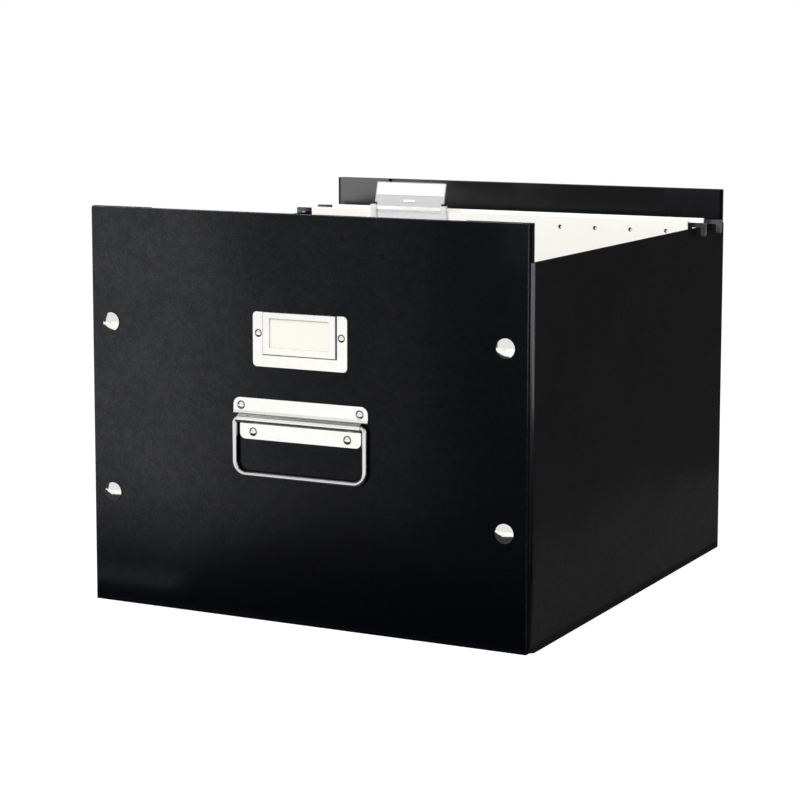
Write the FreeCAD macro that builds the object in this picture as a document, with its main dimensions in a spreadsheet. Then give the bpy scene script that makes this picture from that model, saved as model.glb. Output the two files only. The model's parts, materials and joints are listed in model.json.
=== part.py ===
import FreeCAD, Part
import math
import os
import re

import Sketcher

# Archive box for hanging files: an open board box with press-stud corners, a label holder and
# a drop handle on the front, and one hanging folder on the rims of its side walls.
# Millimetres. Origin: centre of the underside. +X right as seen from the front, +Y to the
# back, +Z up.

SIZES = [
    ("box_width", 334.0, "over the outer faces of the side walls"),
    ("box_depth", 365.0, "over the outer faces of the front and back boards"),
    ("panel_height", 276.0, "top of the front and back boards above the table"),
    ("rim_drop", 25.0, "rims of the side walls below the top of the front and back boards"),
    ("board", 3.0, "thickness of every board"),
    ("cover_sheet", 0.5, "covering sheet under the base, which forms the two fold lines"),
    ("panel_inset", 2.5, "sides of the front and back boards in from the walls' outer faces"),
    ("edge_round", 0.7, "rounding of the covered board edges"),
    ("flap_reach", 48.0, "reach of a corner flap from the wall's outer face"),
    ("flap_top_inset", 1.5, "how far the flap's top stands in from the wall's outer face"),
    ("bend_radius", 3.4, "outer radius of a wall where it turns into its flap"),
    ("panel_gap", 0.3, "between a front or back board and the flaps behind it"),
    ("board_gap", 0.3, "between board edges that meet"),
    ("stud_inset", 18.0, "press studs in from the walls' outer faces"),
    ("stud_low", 77.5, "lower studs above the table"),
    ("stud_drop", 79.5, "upper studs below the top of the board"),
    ("stud_cap", 13.0, "diameter of a stud's cap"),
    ("stud_cap_rim", 0.6, "height of the cap's rim"),
    ("stud_cap_crown", 1.6, "height of the cap's crown above its rim"),
    ("stud_socket", 9.6, "diameter of a stud's socket"),
    ("socket_floor", 0.5, "metal between the socket's bore and the cap"),
    ("socket_depth", 2.7, "depth of the socket in its board"),
    ("stud_post", 4.0, "diameter of the post that snaps into the socket"),
    ("post_reach", 2.2, "reach of the post from its flange"),
    ("post_play", 0.12, "radial clearance of the post in the socket"),
    ("post_flange", 1.0, "thickness of the post's flange, let into the flap"),
    ("seat_play", 0.2, "radial clearance of a let-in flange or socket"),
    ("shank", 3.0, "diameter of every rivet shank"),
    ("shank_play", 0.1, "radial clearance of a shank in its hole"),
    ("washer", 9.0, "diameter of every washer"),
    ("washer_thick", 0.8, "thickness of every washer"),
    ("clench", 4.6, "diameter of a shank's clenched end"),
    ("clench_height", 0.6, "height of the clenched end"),
    ("label_width", 71.4, "width of the label holder"),
    ("label_height", 37.0, "height of the label holder"),
    ("label_drop", 65.8, "label holder's upper edge below the top of the board"),
    ("label_corner", 3.0, "corner radius of the label holder"),
    ("label_sheet", 0.6, "metal of the label holder"),
    ("frame_width", 55.6, "width of the label holder's raised frame"),
    ("frame_foot", 8.3, "raised frame's lower edge above the holder's"),
    ("frame_raise", 1.8, "front of the raised frame above the board"),
    ("window_width", 45.0, "width of the label window"),
    ("window_height", 19.6, "height of the label window"),
    ("window_drop", 4.1, "window's upper edge below the holder's"),
    ("label_rivet_inset", 4.3, "label rivets in from the holder's ends"),
    ("label_rivet_rise", 22.5, "label rivets above the holder's lower edge"),
    ("label_rivet_head", 5.4, "diameter of a label rivet's head"),
    ("label_rivet_crown", 1.2, "height of a label rivet's head"),
    ("card_thick", 0.4, "thickness of the label card"),
    ("card_height", 27.0, "height of the label card"),
    ("card_play", 0.4, "clearance of the card at each edge of its pocket"),
    ("handle_drop", 138.6, "bail axis below the top of the board"),
    ("handle_sheet", 0.8, "metal of the handle plate"),
    ("wing_reach", 4.3, "reach of the plate's wings past each end of the barrel"),
    ("upper_flange_rise", 14.2, "top of the handle plate above the bail axis"),
    ("wing_rise", 3.5, "underside of the plate's wings above the bail axis"),
    ("barrel_length", 93.4, "length of the barrel round the bail"),
    ("lower_flange_inset", 0.7, "plate's sides below the barrel, in from the barrel's ends"),
    ("lower_flange_drop", 13.8, "foot of the handle plate below the bail axis"),
    ("upper_corner", 5.0, "radius of the handle plate's top corners"),
    ("lower_corner", 4.0, "radius of the handle plate's lower corners"),
    ("upper_sweep", 3.5, "radius where the upper flange sweeps into the barrel"),
    ("lower_sweep", 0.8, "radius where the lower flange meets the barrel"),
    ("wire", 3.6, "diameter of the bail's wire"),
    ("wire_play", 0.06, "radial clearance of the wire in the barrel"),
    ("wire_stand", 0.15, "between the wire and the board behind it"),
    ("wire_end_gap", 24.0, "between the wire's two ends inside the barrel"),
    ("bail_top_bend", 2.6, "centreline radius where a leg turns into the barrel"),
    ("bail_drop", 37.5, "from the bail axis to the centre of its grip"),
    ("bail_bend", 8.3, "centreline radius at the grip's ends"),
    ("upper_rivet_inset", 6.0, "upper handle rivets in from the wings' ends"),
    ("upper_rivet_rise", 8.9, "upper handle rivets above the bail axis"),
    ("lower_rivet_inset", 10.2, "lower handle rivets in from the plate's sides"),
    ("lower_rivet_drop", 8.7, "lower handle rivets below the bail axis"),
    ("handle_rivet_head", 6.0, "diameter of a handle rivet's head"),
    ("handle_rivet_crown", 1.4, "height of a handle rivet's head"),
    ("folder_place", 45.5, "bottom fold of the folder in front of the box's back face"),
    ("folder_opening", 35.0, "between the two rails at the rims"),
    ("fold_level", 14.0, "bottom fold of the folder above the table"),
    ("leaf_gap", 5.0, "between the folder's card and each side wall"),
    ("leaf_rise", 4.5, "top of the card above the rims"),
    ("card_sheet", 0.5, "thickness of the folder's card"),
    ("fold_play", 0.55, "between the front leaf and the fold that holds it"),
    ("hem_depth", 13.0, "depth of the hem that holds a rail"),
    ("rail_thick", 1.2, "thickness of a rail"),
    ("rail_play", 0.08, "between a rail and its hem on each side"),
    ("rail_bar", 3.5, "height of a rail's bar"),
    ("hook_play_outside", 1.7, "between the wall and the hook's outer lobe"),
    ("hook_play_inside", 2.0, "between the wall and the hook's inner lobe"),
    ("hook_lobe", 4.4, "width of the lobe outside the wall"),
    ("hook_drop", 6.5, "depth of the notch"),
    ("hook_shoulder", 6.5, "width of the lobe inside the wall"),
    ("lobe_round", 1.9, "rounding of the hook's lobes"),
    ("rest_gap", 0.3, "between a hook and the rim that carries it"),
    ("hole_count", 11, "holes along each leaf"),
    ("hole_inset", 17.0, "outermost holes in from the card's ends"),
    ("leaf_hole", 3.3, "diameter of a hole in the leaf"),
    ("hole_drop", 7.7, "holes below the top of the card"),
    ("tab_hole_count", 2, "holes between the folder's middle and the tab's nearer tongue"),
    ("clip_width", 56.4, "width of the tab's clip between its ears"),
    ("clip_drop", 9.5, "foot of the clip below the top of the card"),
    ("clip_sheet", 1.0, "thickness of the clip"),
    ("clip_gap", 0.05, "between the clip and the card"),
    ("tongue", 3.0, "diameter of the clip's tongues"),
    ("ear_width", 4.8, "width of an ear"),
    ("ear_drop", 6.0, "foot of the ears below the top of the card"),
    ("ear_rise", 4.6, "top of the ears above the top of the card"),
    ("ear_depth", 3.4, "depth of the ears from the card"),
    ("tab_axis_rise", 1.5, "tab's pivot above the top of the card"),
    ("tab_axis_stand", 1.9, "tab's pivot in front of the clip's back face"),
    ("tab_pin", 1.6, "diameter of the tab's pins"),
    ("tab_pin_reach", 3.2, "reach of a pin into its ear"),
    ("pin_play", 0.08, "radial clearance of a pin"),
    ("tab_barrel", 2.8, "diameter of the bar between the pins"),
    ("tab_end_gap", 0.4, "between the bar and each ear"),
    ("tab_neck", 1.0, "thickness of the tab's neck"),
    ("tab_width", 60.0, "width of the tab's sleeve"),
    ("sleeve_start", 5.0, "lower edge of the sleeve above the pivot"),
    ("sleeve_top", 21.2, "upper edge of the sleeve above the pivot"),
    ("sleeve_wall", 0.5, "plastic of the sleeve"),
    ("sleeve_foot", 6.0, "height of the solid strip along the sleeve's lower edge"),
    ("foot_ridge", 9.4, "width of the ridge in the middle of that strip"),
    ("foot_ridge_height", 1.1, "height of that ridge"),
    ("foot_ridge_rise", 0.9, "ridge above the sleeve's lower edge"),
    ("foot_ridge_stand", 0.4, "how far the ridge stands out"),
    ("tab_lean_angle", 20.0, "how far the tab leans back from its leaf, in degrees"),
    ("insert_thick", 0.25, "thickness of the tab's paper insert"),
    ("insert_play", 0.15, "clearance of the insert on each face"),
    ("insert_inset", 1.0, "insert's ends in from the sleeve's"),
]

doc = FreeCAD.newDocument("ArchiveBox")
sheet = doc.addObject("Spreadsheet::Sheet", "Sizes")
for row, (alias, number, meaning) in enumerate(SIZES, start=1):
    sheet.set(f"A{row}", meaning)
    sheet.set(f"B{row}", str(number))
    sheet.setAlias(f"B{row}", alias)
doc.recompute()
NAMES = {alias for alias, number, meaning in SIZES}

# Directions in which a fastener's head or a turned piece points, as turns about X.
TO_FRONT = 90
TO_BACK = -90

# How far off a corner's middle may lie and still count as that corner.
SAME_SPOT = 0.01

# Expressions that several pieces share.
RIM = "(panel_height - rim_drop)"
PANEL_HALF = "(box_width / 2 - panel_inset)"
FRONT_FACE = "(-box_depth / 2)"
BACK_FACE = "(box_depth / 2)"
FLAP_FRONT = "(-box_depth / 2 + board + panel_gap)"
FLAP_INNER = "(-box_depth / 2 + 2 * board + panel_gap)"
LEAN = f"atan(folder_opening / 2 / ({RIM} - fold_level))"
FOLD_PLACE = "(box_depth / 2 - folder_place)"
LEAF_TOP = f"(({RIM} + leaf_rise - fold_level) / cos({LEAN}))"
LEAF_WIDTH = "(box_width - 2 * board - 2 * leaf_gap)"
HOLE_PITCH = f"(({LEAF_WIDTH} - 2 * hole_inset) / (hole_count - 1))"
NOTCH_TOP = f"(({RIM} + rest_gap - fold_level) / cos({LEAN}))"
HEM_SPACE = "(rail_thick + 2 * rail_play)"
TAB_CENTRE = f"(-(tab_hole_count + 0.5) * {HOLE_PITCH})"
LABEL_TOP = "(panel_height - label_drop)"
LABEL_LOW = f"({LABEL_TOP} - label_height)"
HANDLE_AXIS = "(panel_height - handle_drop)"
WING_HALF = "(barrel_length / 2 + wing_reach)"
LOWER_HALF = "(barrel_length / 2 - lower_flange_inset)"
STUD_HALF = "(box_width / 2 - stud_inset)"
LABEL_RIVET_HALF = "(label_width / 2 - label_rivet_inset)"
UPPER_RIVET_HALF = f"({WING_HALF} - upper_rivet_inset)"
LOWER_RIVET_HALF = f"({LOWER_HALF} - lower_rivet_inset)"
STUD_LEVELS = ["stud_low", "(panel_height - stud_drop)"]
STUD_PLACES = [(f"{sign}{STUD_HALF}", level) for level in STUD_LEVELS for sign in ("-", "")]
LABEL_RIVETS = [(f"{sign}{LABEL_RIVET_HALF}", f"{LABEL_LOW} + label_rivet_rise") for sign in ("-", "")]
HANDLE_RIVETS = [
    (f"-{UPPER_RIVET_HALF}", f"{HANDLE_AXIS} + upper_rivet_rise"),
    (UPPER_RIVET_HALF, f"{HANDLE_AXIS} + upper_rivet_rise"),
    (f"-{LOWER_RIVET_HALF}", f"{HANDLE_AXIS} - lower_rivet_drop"),
    (LOWER_RIVET_HALF, f"{HANDLE_AXIS} - lower_rivet_drop"),
]
finished = []


def named(text):
    """Point each size's name in an expression at the sheet."""
    return re.sub(r"[a-z_]+", lambda word: f"Sizes.{word[0]}" if word[0] in NAMES else word[0], str(text))


def value(text):
    """Work an expression out now."""
    result = sheet.evalExpression(named(text))
    return float(getattr(result, "Value", result))


def bind(thing, target, text):
    """Tie one property of an object to an expression."""
    thing.setExpression(target, named(text))


def finish(thing, label):
    """Give a piece its own name and note it for the checks and the files."""
    thing.Label = label
    finished.append(thing)
    return thing


def place(thing, x="0", y="0", z="0", turn=None, quarter=0):
    """Set a piece's place by expressions, with a turn about X in degrees or as an expression."""
    if turn is not None:
        angle = value(turn)
        about_x = FreeCAD.Rotation(FreeCAD.Vector(1, 0, 0), angle)
        rotation = about_x.multiply(FreeCAD.Rotation(FreeCAD.Vector(0, 0, 1), quarter))
        thing.Placement = FreeCAD.Placement(FreeCAD.Vector(0, 0, 0), rotation)
        if isinstance(turn, str):
            bind(thing, "Placement.Rotation.Angle", turn)
    for axis, text in (("x", x), ("y", y), ("z", z)):
        if text != "0":
            bind(thing, f"Placement.Base.{axis}", text)
    return thing


def new_body(name):
    """Start a body of sketched features."""
    return doc.addObject("PartDesign::Body", name)


def new_sketch(body, plane, lift="0"):
    """Start a sketch on one of the body's own origin planes, lifted along the plane's normal."""
    sketch = body.newObject("Sketcher::SketchObject", f"{body.Name}_sketch")
    support = [item for item in body.Origin.OriginFeatures if item.Role == plane][0]
    sketch.AttachmentSupport = [(support, "")]
    sketch.MapMode = "FlatFace"
    if lift != "0":
        bind(sketch, "AttachmentOffset.Base.z", lift)
    return sketch


def pin_point(sketch, geometry, end, across, up):
    """Fix one point of a sketch at two expressions."""
    for kind, axis, text in (("DistanceX", -2, across), ("DistanceY", -1, up)):
        if text == "0":
            sketch.addConstraint(Sketcher.Constraint("PointOnObject", geometry, end, axis))
            continue
        index = sketch.addConstraint(Sketcher.Constraint(kind, -1, 1, geometry, end, value(text)))
        bind(sketch, f"Constraints[{index}]", text)


def draw_outline(sketch, corners):
    """Draw a closed outline through corners given as pairs of expressions."""
    first = sketch.GeometryCount
    count = len(corners)
    points = [FreeCAD.Vector(value(across), value(up), 0) for across, up in corners]
    for index in range(count):
        sketch.addGeometry(Part.LineSegment(points[index], points[(index + 1) % count]), False)
    for index in range(count):
        following = first + (index + 1) % count
        sketch.addConstraint(Sketcher.Constraint("Coincident", first + index, 2, following, 1))
    for index, (across, up) in enumerate(corners):
        pin_point(sketch, first + index, 1, across, up)
    return sketch


def draw_box(sketch, low_across, low_up, high_across, high_up):
    """Draw a rectangle from two corners."""
    corners = [(low_across, low_up), (high_across, low_up), (high_across, high_up), (low_across, high_up)]
    return draw_outline(sketch, corners)


def draw_circle(sketch, across, up, diameter):
    """Draw a circle from its centre and diameter."""
    centre = FreeCAD.Vector(value(across), value(up), 0)
    circle = Part.Circle(centre, FreeCAD.Vector(0, 0, 1), value(diameter) / 2)
    geometry = sketch.addGeometry(circle, False)
    index = sketch.addConstraint(Sketcher.Constraint("Diameter", geometry, value(diameter)))
    bind(sketch, f"Constraints[{index}]", diameter)
    pin_point(sketch, geometry, 3, across, up)
    return sketch


def pad(body, sketch, length, side="One side", flip=False):
    """Raise a sketch into the body."""
    feature = body.newObject("PartDesign::Pad", f"{body.Name}_pad")
    feature.Profile = sketch
    feature.SideType = side
    feature.Reversed = flip
    bind(feature, "Length", length)
    body.Tip = feature
    doc.recompute()
    return feature


def pocket(body, sketch, length=None, side="One side", flip=False):
    """Cut a sketch out of the body, right through unless a length is given."""
    before = body.Shape.Volume
    feature = body.newObject("PartDesign::Pocket", f"{body.Name}_pocket")
    feature.Profile = sketch
    feature.SideType = side
    feature.Reversed = flip
    if length is None:
        feature.Type = "ThroughAll"
    else:
        bind(feature, "Length", length)
    body.Tip = feature
    doc.recompute()
    if body.Shape.Volume >= before:
        raise RuntimeError(f"{feature.Name} cut nothing")
    return feature


def round_edges(body, radius, wanted):
    """Round the edges for which wanted(middle, direction) is true."""
    base = body.Tip
    names = []
    for number, edge in enumerate(base.Shape.Edges, start=1):
        if edge.Curve.TypeId != "Part::GeomLine":
            continue
        middle = edge.valueAt((edge.FirstParameter + edge.LastParameter) / 2)
        direction = edge.tangentAt(edge.FirstParameter)
        if wanted(middle, direction):
            names.append(f"Edge{number}")
    feature = body.newObject("PartDesign::Fillet", f"{body.Name}_fillet")
    feature.Base = (base, names)
    bind(feature, "Radius", radius)
    body.Tip = feature
    doc.recompute()
    return feature


def near(middle, axes, *places):
    """Say whether a point lies on one of the given places, measured on the named axes."""
    for spot in places:
        gaps = [abs(getattr(middle, axis) - number) for axis, number in zip(axes, spot)]
        if max(gaps) < SAME_SPOT:
            return True
    return False


def disc(name, x, y, z, turn, diameter, length):
    """A short cylinder whose axis leaves (x, y, z) towards the front or the back."""
    piece = doc.addObject("Part::Cylinder", name)
    bind(piece, "Radius", f"({diameter}) / 2")
    bind(piece, "Height", length)
    return place(piece, x, y, z, turn)


def crown(name, x, y, z, turn, diameter, height):
    """A shallow dome on a flat round base at (x, y, z)."""
    ball = f"((({diameter}) * ({diameter}) / 4 + ({height}) * ({height})) / (2 * ({height})))"
    sign = "+" if turn == TO_FRONT else "-"
    piece = doc.addObject("Part::Sphere", name)
    bind(piece, "Radius", ball)
    bind(piece, "Angle1", f"asin(1 - ({height}) / {ball})")
    return place(piece, x, f"{y} {sign} ({ball} - ({height}))", z, turn)


def fuse(name, pieces):
    """Join shapes into one solid."""
    joined = doc.addObject("Part::MultiFuse", name)
    joined.Shapes = pieces
    return joined


def cut(name, base, tool):
    """Take one shape away from another."""
    result = doc.addObject("Part::Cut", name)
    result.Base = base
    result.Tool = tool
    return result


def group(label, pieces):
    """Keep like fasteners together as separate solids of one node."""
    holder = doc.addObject("Part::Compound", label)
    holder.Links = pieces
    return finish(holder, label)


def cover_outline():
    """Plan of the underside: the full width between the bends, the panels' width at the ends."""
    side_end = f"({FLAP_FRONT} + bend_radius)"
    half_wide = "(box_width / 2)"
    return [
        (f"-{PANEL_HALF}", FRONT_FACE),
        (PANEL_HALF, FRONT_FACE),
        (PANEL_HALF, side_end),
        (half_wide, side_end),
        (half_wide, f"-{side_end}"),
        (PANEL_HALF, f"-{side_end}"),
        (PANEL_HALF, BACK_FACE),
        (f"-{PANEL_HALF}", BACK_FACE),
        (f"-{PANEL_HALF}", f"-{side_end}"),
        (f"-{half_wide}", f"-{side_end}"),
        (f"-{half_wide}", side_end),
        (f"-{PANEL_HALF}", side_end),
    ]


def base_outline():
    """Plan of the base board: between the walls, and between the flaps up to the panels."""
    inside = "(box_width / 2 - board - board_gap)"
    tongue_side = "(box_width / 2 - flap_reach - board_gap)"
    flap_clear = f"({FLAP_INNER} + board_gap)"
    panel_clear = "(-box_depth / 2 + board + board_gap)"
    return [
        (f"-{tongue_side}", panel_clear),
        (tongue_side, panel_clear),
        (tongue_side, flap_clear),
        (inside, flap_clear),
        (inside, f"-{flap_clear}"),
        (tongue_side, f"-{flap_clear}"),
        (tongue_side, f"-{panel_clear}"),
        (f"-{tongue_side}", f"-{panel_clear}"),
        (f"-{tongue_side}", f"-{flap_clear}"),
        (f"-{inside}", f"-{flap_clear}"),
        (f"-{inside}", flap_clear),
        (f"-{tongue_side}", flap_clear),
    ]


def build_base():
    """The covering sheet that lies on the table and the base board on it."""
    body = new_body("cover_sheet_body")
    pad(body, draw_outline(new_sketch(body, "XY_Plane"), cover_outline()), "cover_sheet")
    finish(body, "base_cover_sheet")
    body = new_body("base_body")
    pad(body, draw_outline(new_sketch(body, "XY_Plane"), base_outline()), "board")
    place(body, z="cover_sheet")
    finish(body, "base_board")


def build_wall(label, side):
    """A side wall bent round at both ends into the flaps that the panels button on to."""
    outer = f"({side} * box_width / 2)"
    inner = f"({side} * (box_width / 2 - board))"
    flap_end = f"({side} * (box_width / 2 - flap_reach))"
    flap_top = f"({side} * (box_width / 2 - flap_top_inset))"
    body = new_body(f"{label}_body")
    corners = [
        (flap_end, FLAP_FRONT),
        (outer, FLAP_FRONT),
        (outer, f"-{FLAP_FRONT}"),
        (flap_end, f"-{FLAP_FRONT}"),
        (flap_end, f"-{FLAP_INNER}"),
        (inner, f"-{FLAP_INNER}"),
        (inner, FLAP_INNER),
        (flap_end, FLAP_INNER),
    ]
    pad(body, draw_outline(new_sketch(body, "XY_Plane"), corners), f"{RIM} - cover_sheet")
    outside = [(value(outer), value(FLAP_FRONT)), (value(outer), -value(FLAP_FRONT))]
    inside = [(value(inner), value(FLAP_INNER)), (value(inner), -value(FLAP_INNER))]
    round_edges(body, "bend_radius", lambda middle, way: abs(way.z) > 0.9 and near(middle, "xy", *outside))
    round_edges(body, "bend_radius - board", lambda middle, way: abs(way.z) > 0.9 and near(middle, "xy", *inside))
    tops = new_sketch(body, "XY_Plane", f"{RIM} - cover_sheet")
    draw_box(tops, flap_end, FLAP_FRONT, flap_top, FLAP_INNER)
    draw_box(tops, flap_end, f"-{FLAP_INNER}", flap_top, f"-{FLAP_FRONT}")
    pad(body, tops, "rim_drop")
    holes = new_sketch(body, "XZ_Plane")
    for level in STUD_LEVELS:
        draw_circle(holes, f"{side} * {STUD_HALF}", f"{level} - cover_sheet", "shank + 2 * shank_play")
    pocket(body, holes, side="Symmetric")
    for lift, flip in ((f"-{FLAP_FRONT}", False), (FLAP_FRONT, True)):
        seats = new_sketch(body, "XZ_Plane", lift)
        for level in STUD_LEVELS:
            draw_circle(seats, f"{side} * {STUD_HALF}", f"{level} - cover_sheet", "stud_socket + 2 * seat_play")
        pocket(body, seats, "post_flange", flip=flip)
    place(body, z="cover_sheet")
    finish(body, label)


def build_panel(label, face, inward, rivet_holes):
    """The front or back board, with its corners' sockets let in and its rivets' holes."""
    body = new_body(f"{label}_body")
    outline = new_sketch(body, "XZ_Plane")
    draw_box(outline, f"-{PANEL_HALF}", "cover_sheet", PANEL_HALF, "panel_height")
    pad(body, outline, "board", flip=inward)
    round_edges(body, "edge_round", lambda middle, way: True)
    holes = new_sketch(body, "XZ_Plane")
    for x, z in STUD_PLACES:
        draw_circle(holes, x, z, "stud_socket + 2 * seat_play")
    for x, z in rivet_holes:
        draw_circle(holes, x, z, "shank + 2 * shank_play")
    pocket(body, holes, side="Symmetric")
    place(body, y=face)
    finish(body, label)


def build_studs(end, face, turn):
    """The press studs of one end: caps and sockets on the panel, posts and washers on the flaps."""
    away = "-" if turn == TO_FRONT else "+"
    inward = "+" if turn == TO_FRONT else "-"
    back = TO_BACK if turn == TO_FRONT else TO_FRONT
    seat = f"{face} {inward} (board + panel_gap)"
    flap_back = f"{face} {inward} (2 * board + panel_gap)"
    caps = []
    sockets = []
    posts = []
    washers = []
    for number, (x, z) in enumerate(STUD_PLACES, start=1):
        rim = disc(f"{end}_cap_rim_{number}", x, face, z, turn, "stud_cap", "stud_cap_rim")
        dome = crown(f"{end}_cap_crown_{number}", x, f"{face} {away} stud_cap_rim", z, turn,
                     "stud_cap", "stud_cap_crown")
        caps.append(fuse(f"{end}_cap_{number}", [rim, dome]))
        ring = disc(f"{end}_socket_ring_{number}", x, face, z, back, "stud_socket", "socket_depth")
        bore = disc(f"{end}_socket_bore_{number}", x, f"{face} {inward} socket_floor", z, back,
                    "stud_post + 2 * post_play", "socket_depth")
        sockets.append(cut(f"{end}_socket_{number}", ring, bore))
        flange = disc(f"{end}_post_flange_{number}", x, seat, z, back, "stud_socket", "post_flange")
        post = disc(f"{end}_post_head_{number}", x, seat, z, turn, "stud_post", "post_reach")
        tail = disc(f"{end}_post_tail_{number}", x, seat, z, back, "shank", "board + washer_thick")
        end_dome = crown(f"{end}_post_clench_{number}", x, f"{flap_back} {inward} washer_thick", z, back,
                         "clench", "clench_height")
        posts.append(fuse(f"{end}_post_{number}", [flange, post, tail, end_dome]))
        plate = disc(f"{end}_washer_plate_{number}", x, flap_back, z, back, "washer", "washer_thick")
        hole = disc(f"{end}_washer_hole_{number}", x, flap_back, z, back, "shank + 2 * shank_play",
                    "washer_thick")
        washers.append(cut(f"{end}_washer_{number}", plate, hole))
    group(f"{end}_stud_caps", caps)
    group(f"{end}_stud_sockets", sockets)
    group(f"{end}_stud_posts", posts)
    group(f"{end}_stud_washers", washers)


def build_rivets(kind, places, sheet_thick, head, crown_height):
    """Domed rivets through a plate and the front board, each clenched over a washer inside."""
    rivets = []
    washers = []
    seat = f"{FRONT_FACE} - ({sheet_thick})"
    board_back = f"{FRONT_FACE} + board"
    for number, (x, z) in enumerate(places, start=1):
        dome = crown(f"{kind}_head_{number}", x, seat, z, TO_FRONT, head, crown_height)
        tail = disc(f"{kind}_tail_{number}", x, seat, z, TO_BACK, "shank",
                    f"({sheet_thick}) + board + washer_thick")
        end_dome = crown(f"{kind}_clench_{number}", x, f"{board_back} + washer_thick", z, TO_BACK,
                         "clench", "clench_height")
        rivets.append(fuse(f"{kind}_{number}", [dome, tail, end_dome]))
        plate = disc(f"{kind}_washer_plate_{number}", x, board_back, z, TO_BACK, "washer", "washer_thick")
        hole = disc(f"{kind}_washer_hole_{number}", x, board_back, z, TO_BACK, "shank + 2 * shank_play",
                    "washer_thick")
        washers.append(cut(f"{kind}_washer_{number}", plate, hole))
    group(f"{kind}_rivets", rivets)
    group(f"{kind}_rivet_washers", washers)


def build_label_holder():
    """A pressed metal holder with a raised frame, open at the top, and the card behind it."""
    half = "label_width / 2"
    frame_low = f"({LABEL_LOW} + frame_foot)"
    body = new_body("label_holder_body")
    plate = new_sketch(body, "XZ_Plane")
    draw_box(plate, f"-{half}", LABEL_LOW, half, LABEL_TOP)
    pad(body, plate, "label_sheet")
    spots = [(sign * value(half), value(level)) for sign in (-1, 1) for level in (LABEL_LOW, LABEL_TOP)]
    round_edges(body, "label_corner", lambda middle, way: abs(way.y) > 0.9 and near(middle, "xz", *spots))
    frame = new_sketch(body, "XZ_Plane")
    draw_box(frame, "-frame_width / 2", frame_low, "frame_width / 2", LABEL_TOP)
    pad(body, frame, "frame_raise")
    front = -value("frame_raise")
    round_edges(body, "label_sheet", lambda middle, way: near(middle, "y", (front,)) and abs(way.y) < 0.1)
    space = new_sketch(body, "XZ_Plane")
    draw_box(space, "-frame_width / 2 + label_sheet", f"{frame_low} + label_sheet",
             "frame_width / 2 - label_sheet", f"{LABEL_TOP} + label_sheet")
    pocket(body, space, "frame_raise - label_sheet", flip=True)
    openings = new_sketch(body, "XZ_Plane")
    draw_box(openings, "-window_width / 2", f"{LABEL_TOP} - window_drop - window_height",
             "window_width / 2", f"{LABEL_TOP} - window_drop")
    for x, z in LABEL_RIVETS:
        draw_circle(openings, x, z, "shank + 2 * shank_play")
    pocket(body, openings, side="Symmetric")
    place(body, y=FRONT_FACE)
    finish(body, "label_holder")
    card = new_body("label_card_body")
    face = new_sketch(card, "XZ_Plane", "(frame_raise - label_sheet - card_thick) / 2")
    edge = "(frame_width / 2 - label_sheet - card_play)"
    foot = f"({frame_low} + label_sheet + card_play)"
    draw_box(face, f"-{edge}", foot, edge, f"{foot} + card_height")
    pad(card, face, "card_thick")
    place(card, y=FRONT_FACE)
    finish(card, "label_card")


def build_handle():
    """A riveted plate pressed over the wire of a drop handle, and the wire bail in it."""
    axis_stand = "(wire / 2 + wire_stand)"
    channel = "(wire / 2 + wire_play)"
    body = new_body("handle_plate_body")
    corners = [
        (f"-{LOWER_HALF}", "-lower_flange_drop"),
        (LOWER_HALF, "-lower_flange_drop"),
        (LOWER_HALF, "0"),
        ("barrel_length / 2", "0"),
        ("barrel_length / 2", "wing_rise"),
        (WING_HALF, "wing_rise"),
        (WING_HALF, "upper_flange_rise"),
        (f"-{WING_HALF}", "upper_flange_rise"),
        (f"-{WING_HALF}", "wing_rise"),
        ("-barrel_length / 2", "wing_rise"),
        ("-barrel_length / 2", "0"),
        (f"-{LOWER_HALF}", "0"),
    ]
    pad(body, draw_outline(new_sketch(body, "XZ_Plane"), corners), "handle_sheet")
    wide = value(WING_HALF)
    high = value("upper_flange_rise")
    low = -value("lower_flange_drop")
    narrow = value(LOWER_HALF)
    tops = [(-wide, high), (wide, high)]
    feet = [(-narrow, low), (narrow, low)]
    round_edges(body, "upper_corner", lambda middle, way: abs(way.y) > 0.9 and near(middle, "xz", *tops))
    round_edges(body, "lower_corner", lambda middle, way: abs(way.y) > 0.9 and near(middle, "xz", *feet))
    hump = new_sketch(body, "YZ_Plane")
    draw_circle(hump, f"-{axis_stand}", "0", f"2 * ({channel} + handle_sheet)")
    pad(body, hump, "barrel_length", side="Symmetric")
    stand_off = value(f"{axis_stand} - handle_sheet")
    crease = math.sqrt(value(f"{channel} + handle_sheet") ** 2 - stand_off ** 2)
    front = -value("handle_sheet")
    round_edges(body, "upper_sweep", lambda middle, way: near(middle, "yz", (front, crease)))
    round_edges(body, "lower_sweep", lambda middle, way: near(middle, "yz", (front, -crease)))
    foot = new_sketch(body, "YZ_Plane")
    draw_box(foot, "0", f"-2 * {channel}", f"2 * {channel}", f"2 * {channel}")
    pocket(body, foot, "2 * barrel_length", side="Symmetric")
    bore = new_sketch(body, "YZ_Plane")
    draw_circle(bore, f"-{axis_stand}", "0", f"2 * {channel}")
    pocket(body, bore, "2 * barrel_length", side="Symmetric")
    mouth = new_sketch(body, "YZ_Plane")
    draw_box(mouth, f"-{axis_stand}", f"-{channel}", "board", channel)
    pocket(body, mouth, "2 * barrel_length", side="Symmetric")
    holes = new_sketch(body, "XZ_Plane")
    for x, z in HANDLE_RIVETS:
        draw_circle(holes, x, f"{z} - {HANDLE_AXIS}", "shank + 2 * shank_play")
    pocket(body, holes, side="Symmetric")
    place(body, y=FRONT_FACE, z=HANDLE_AXIS)
    finish(body, "handle_plate")
    build_bail(f"({FRONT_FACE} - {axis_stand})")


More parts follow.
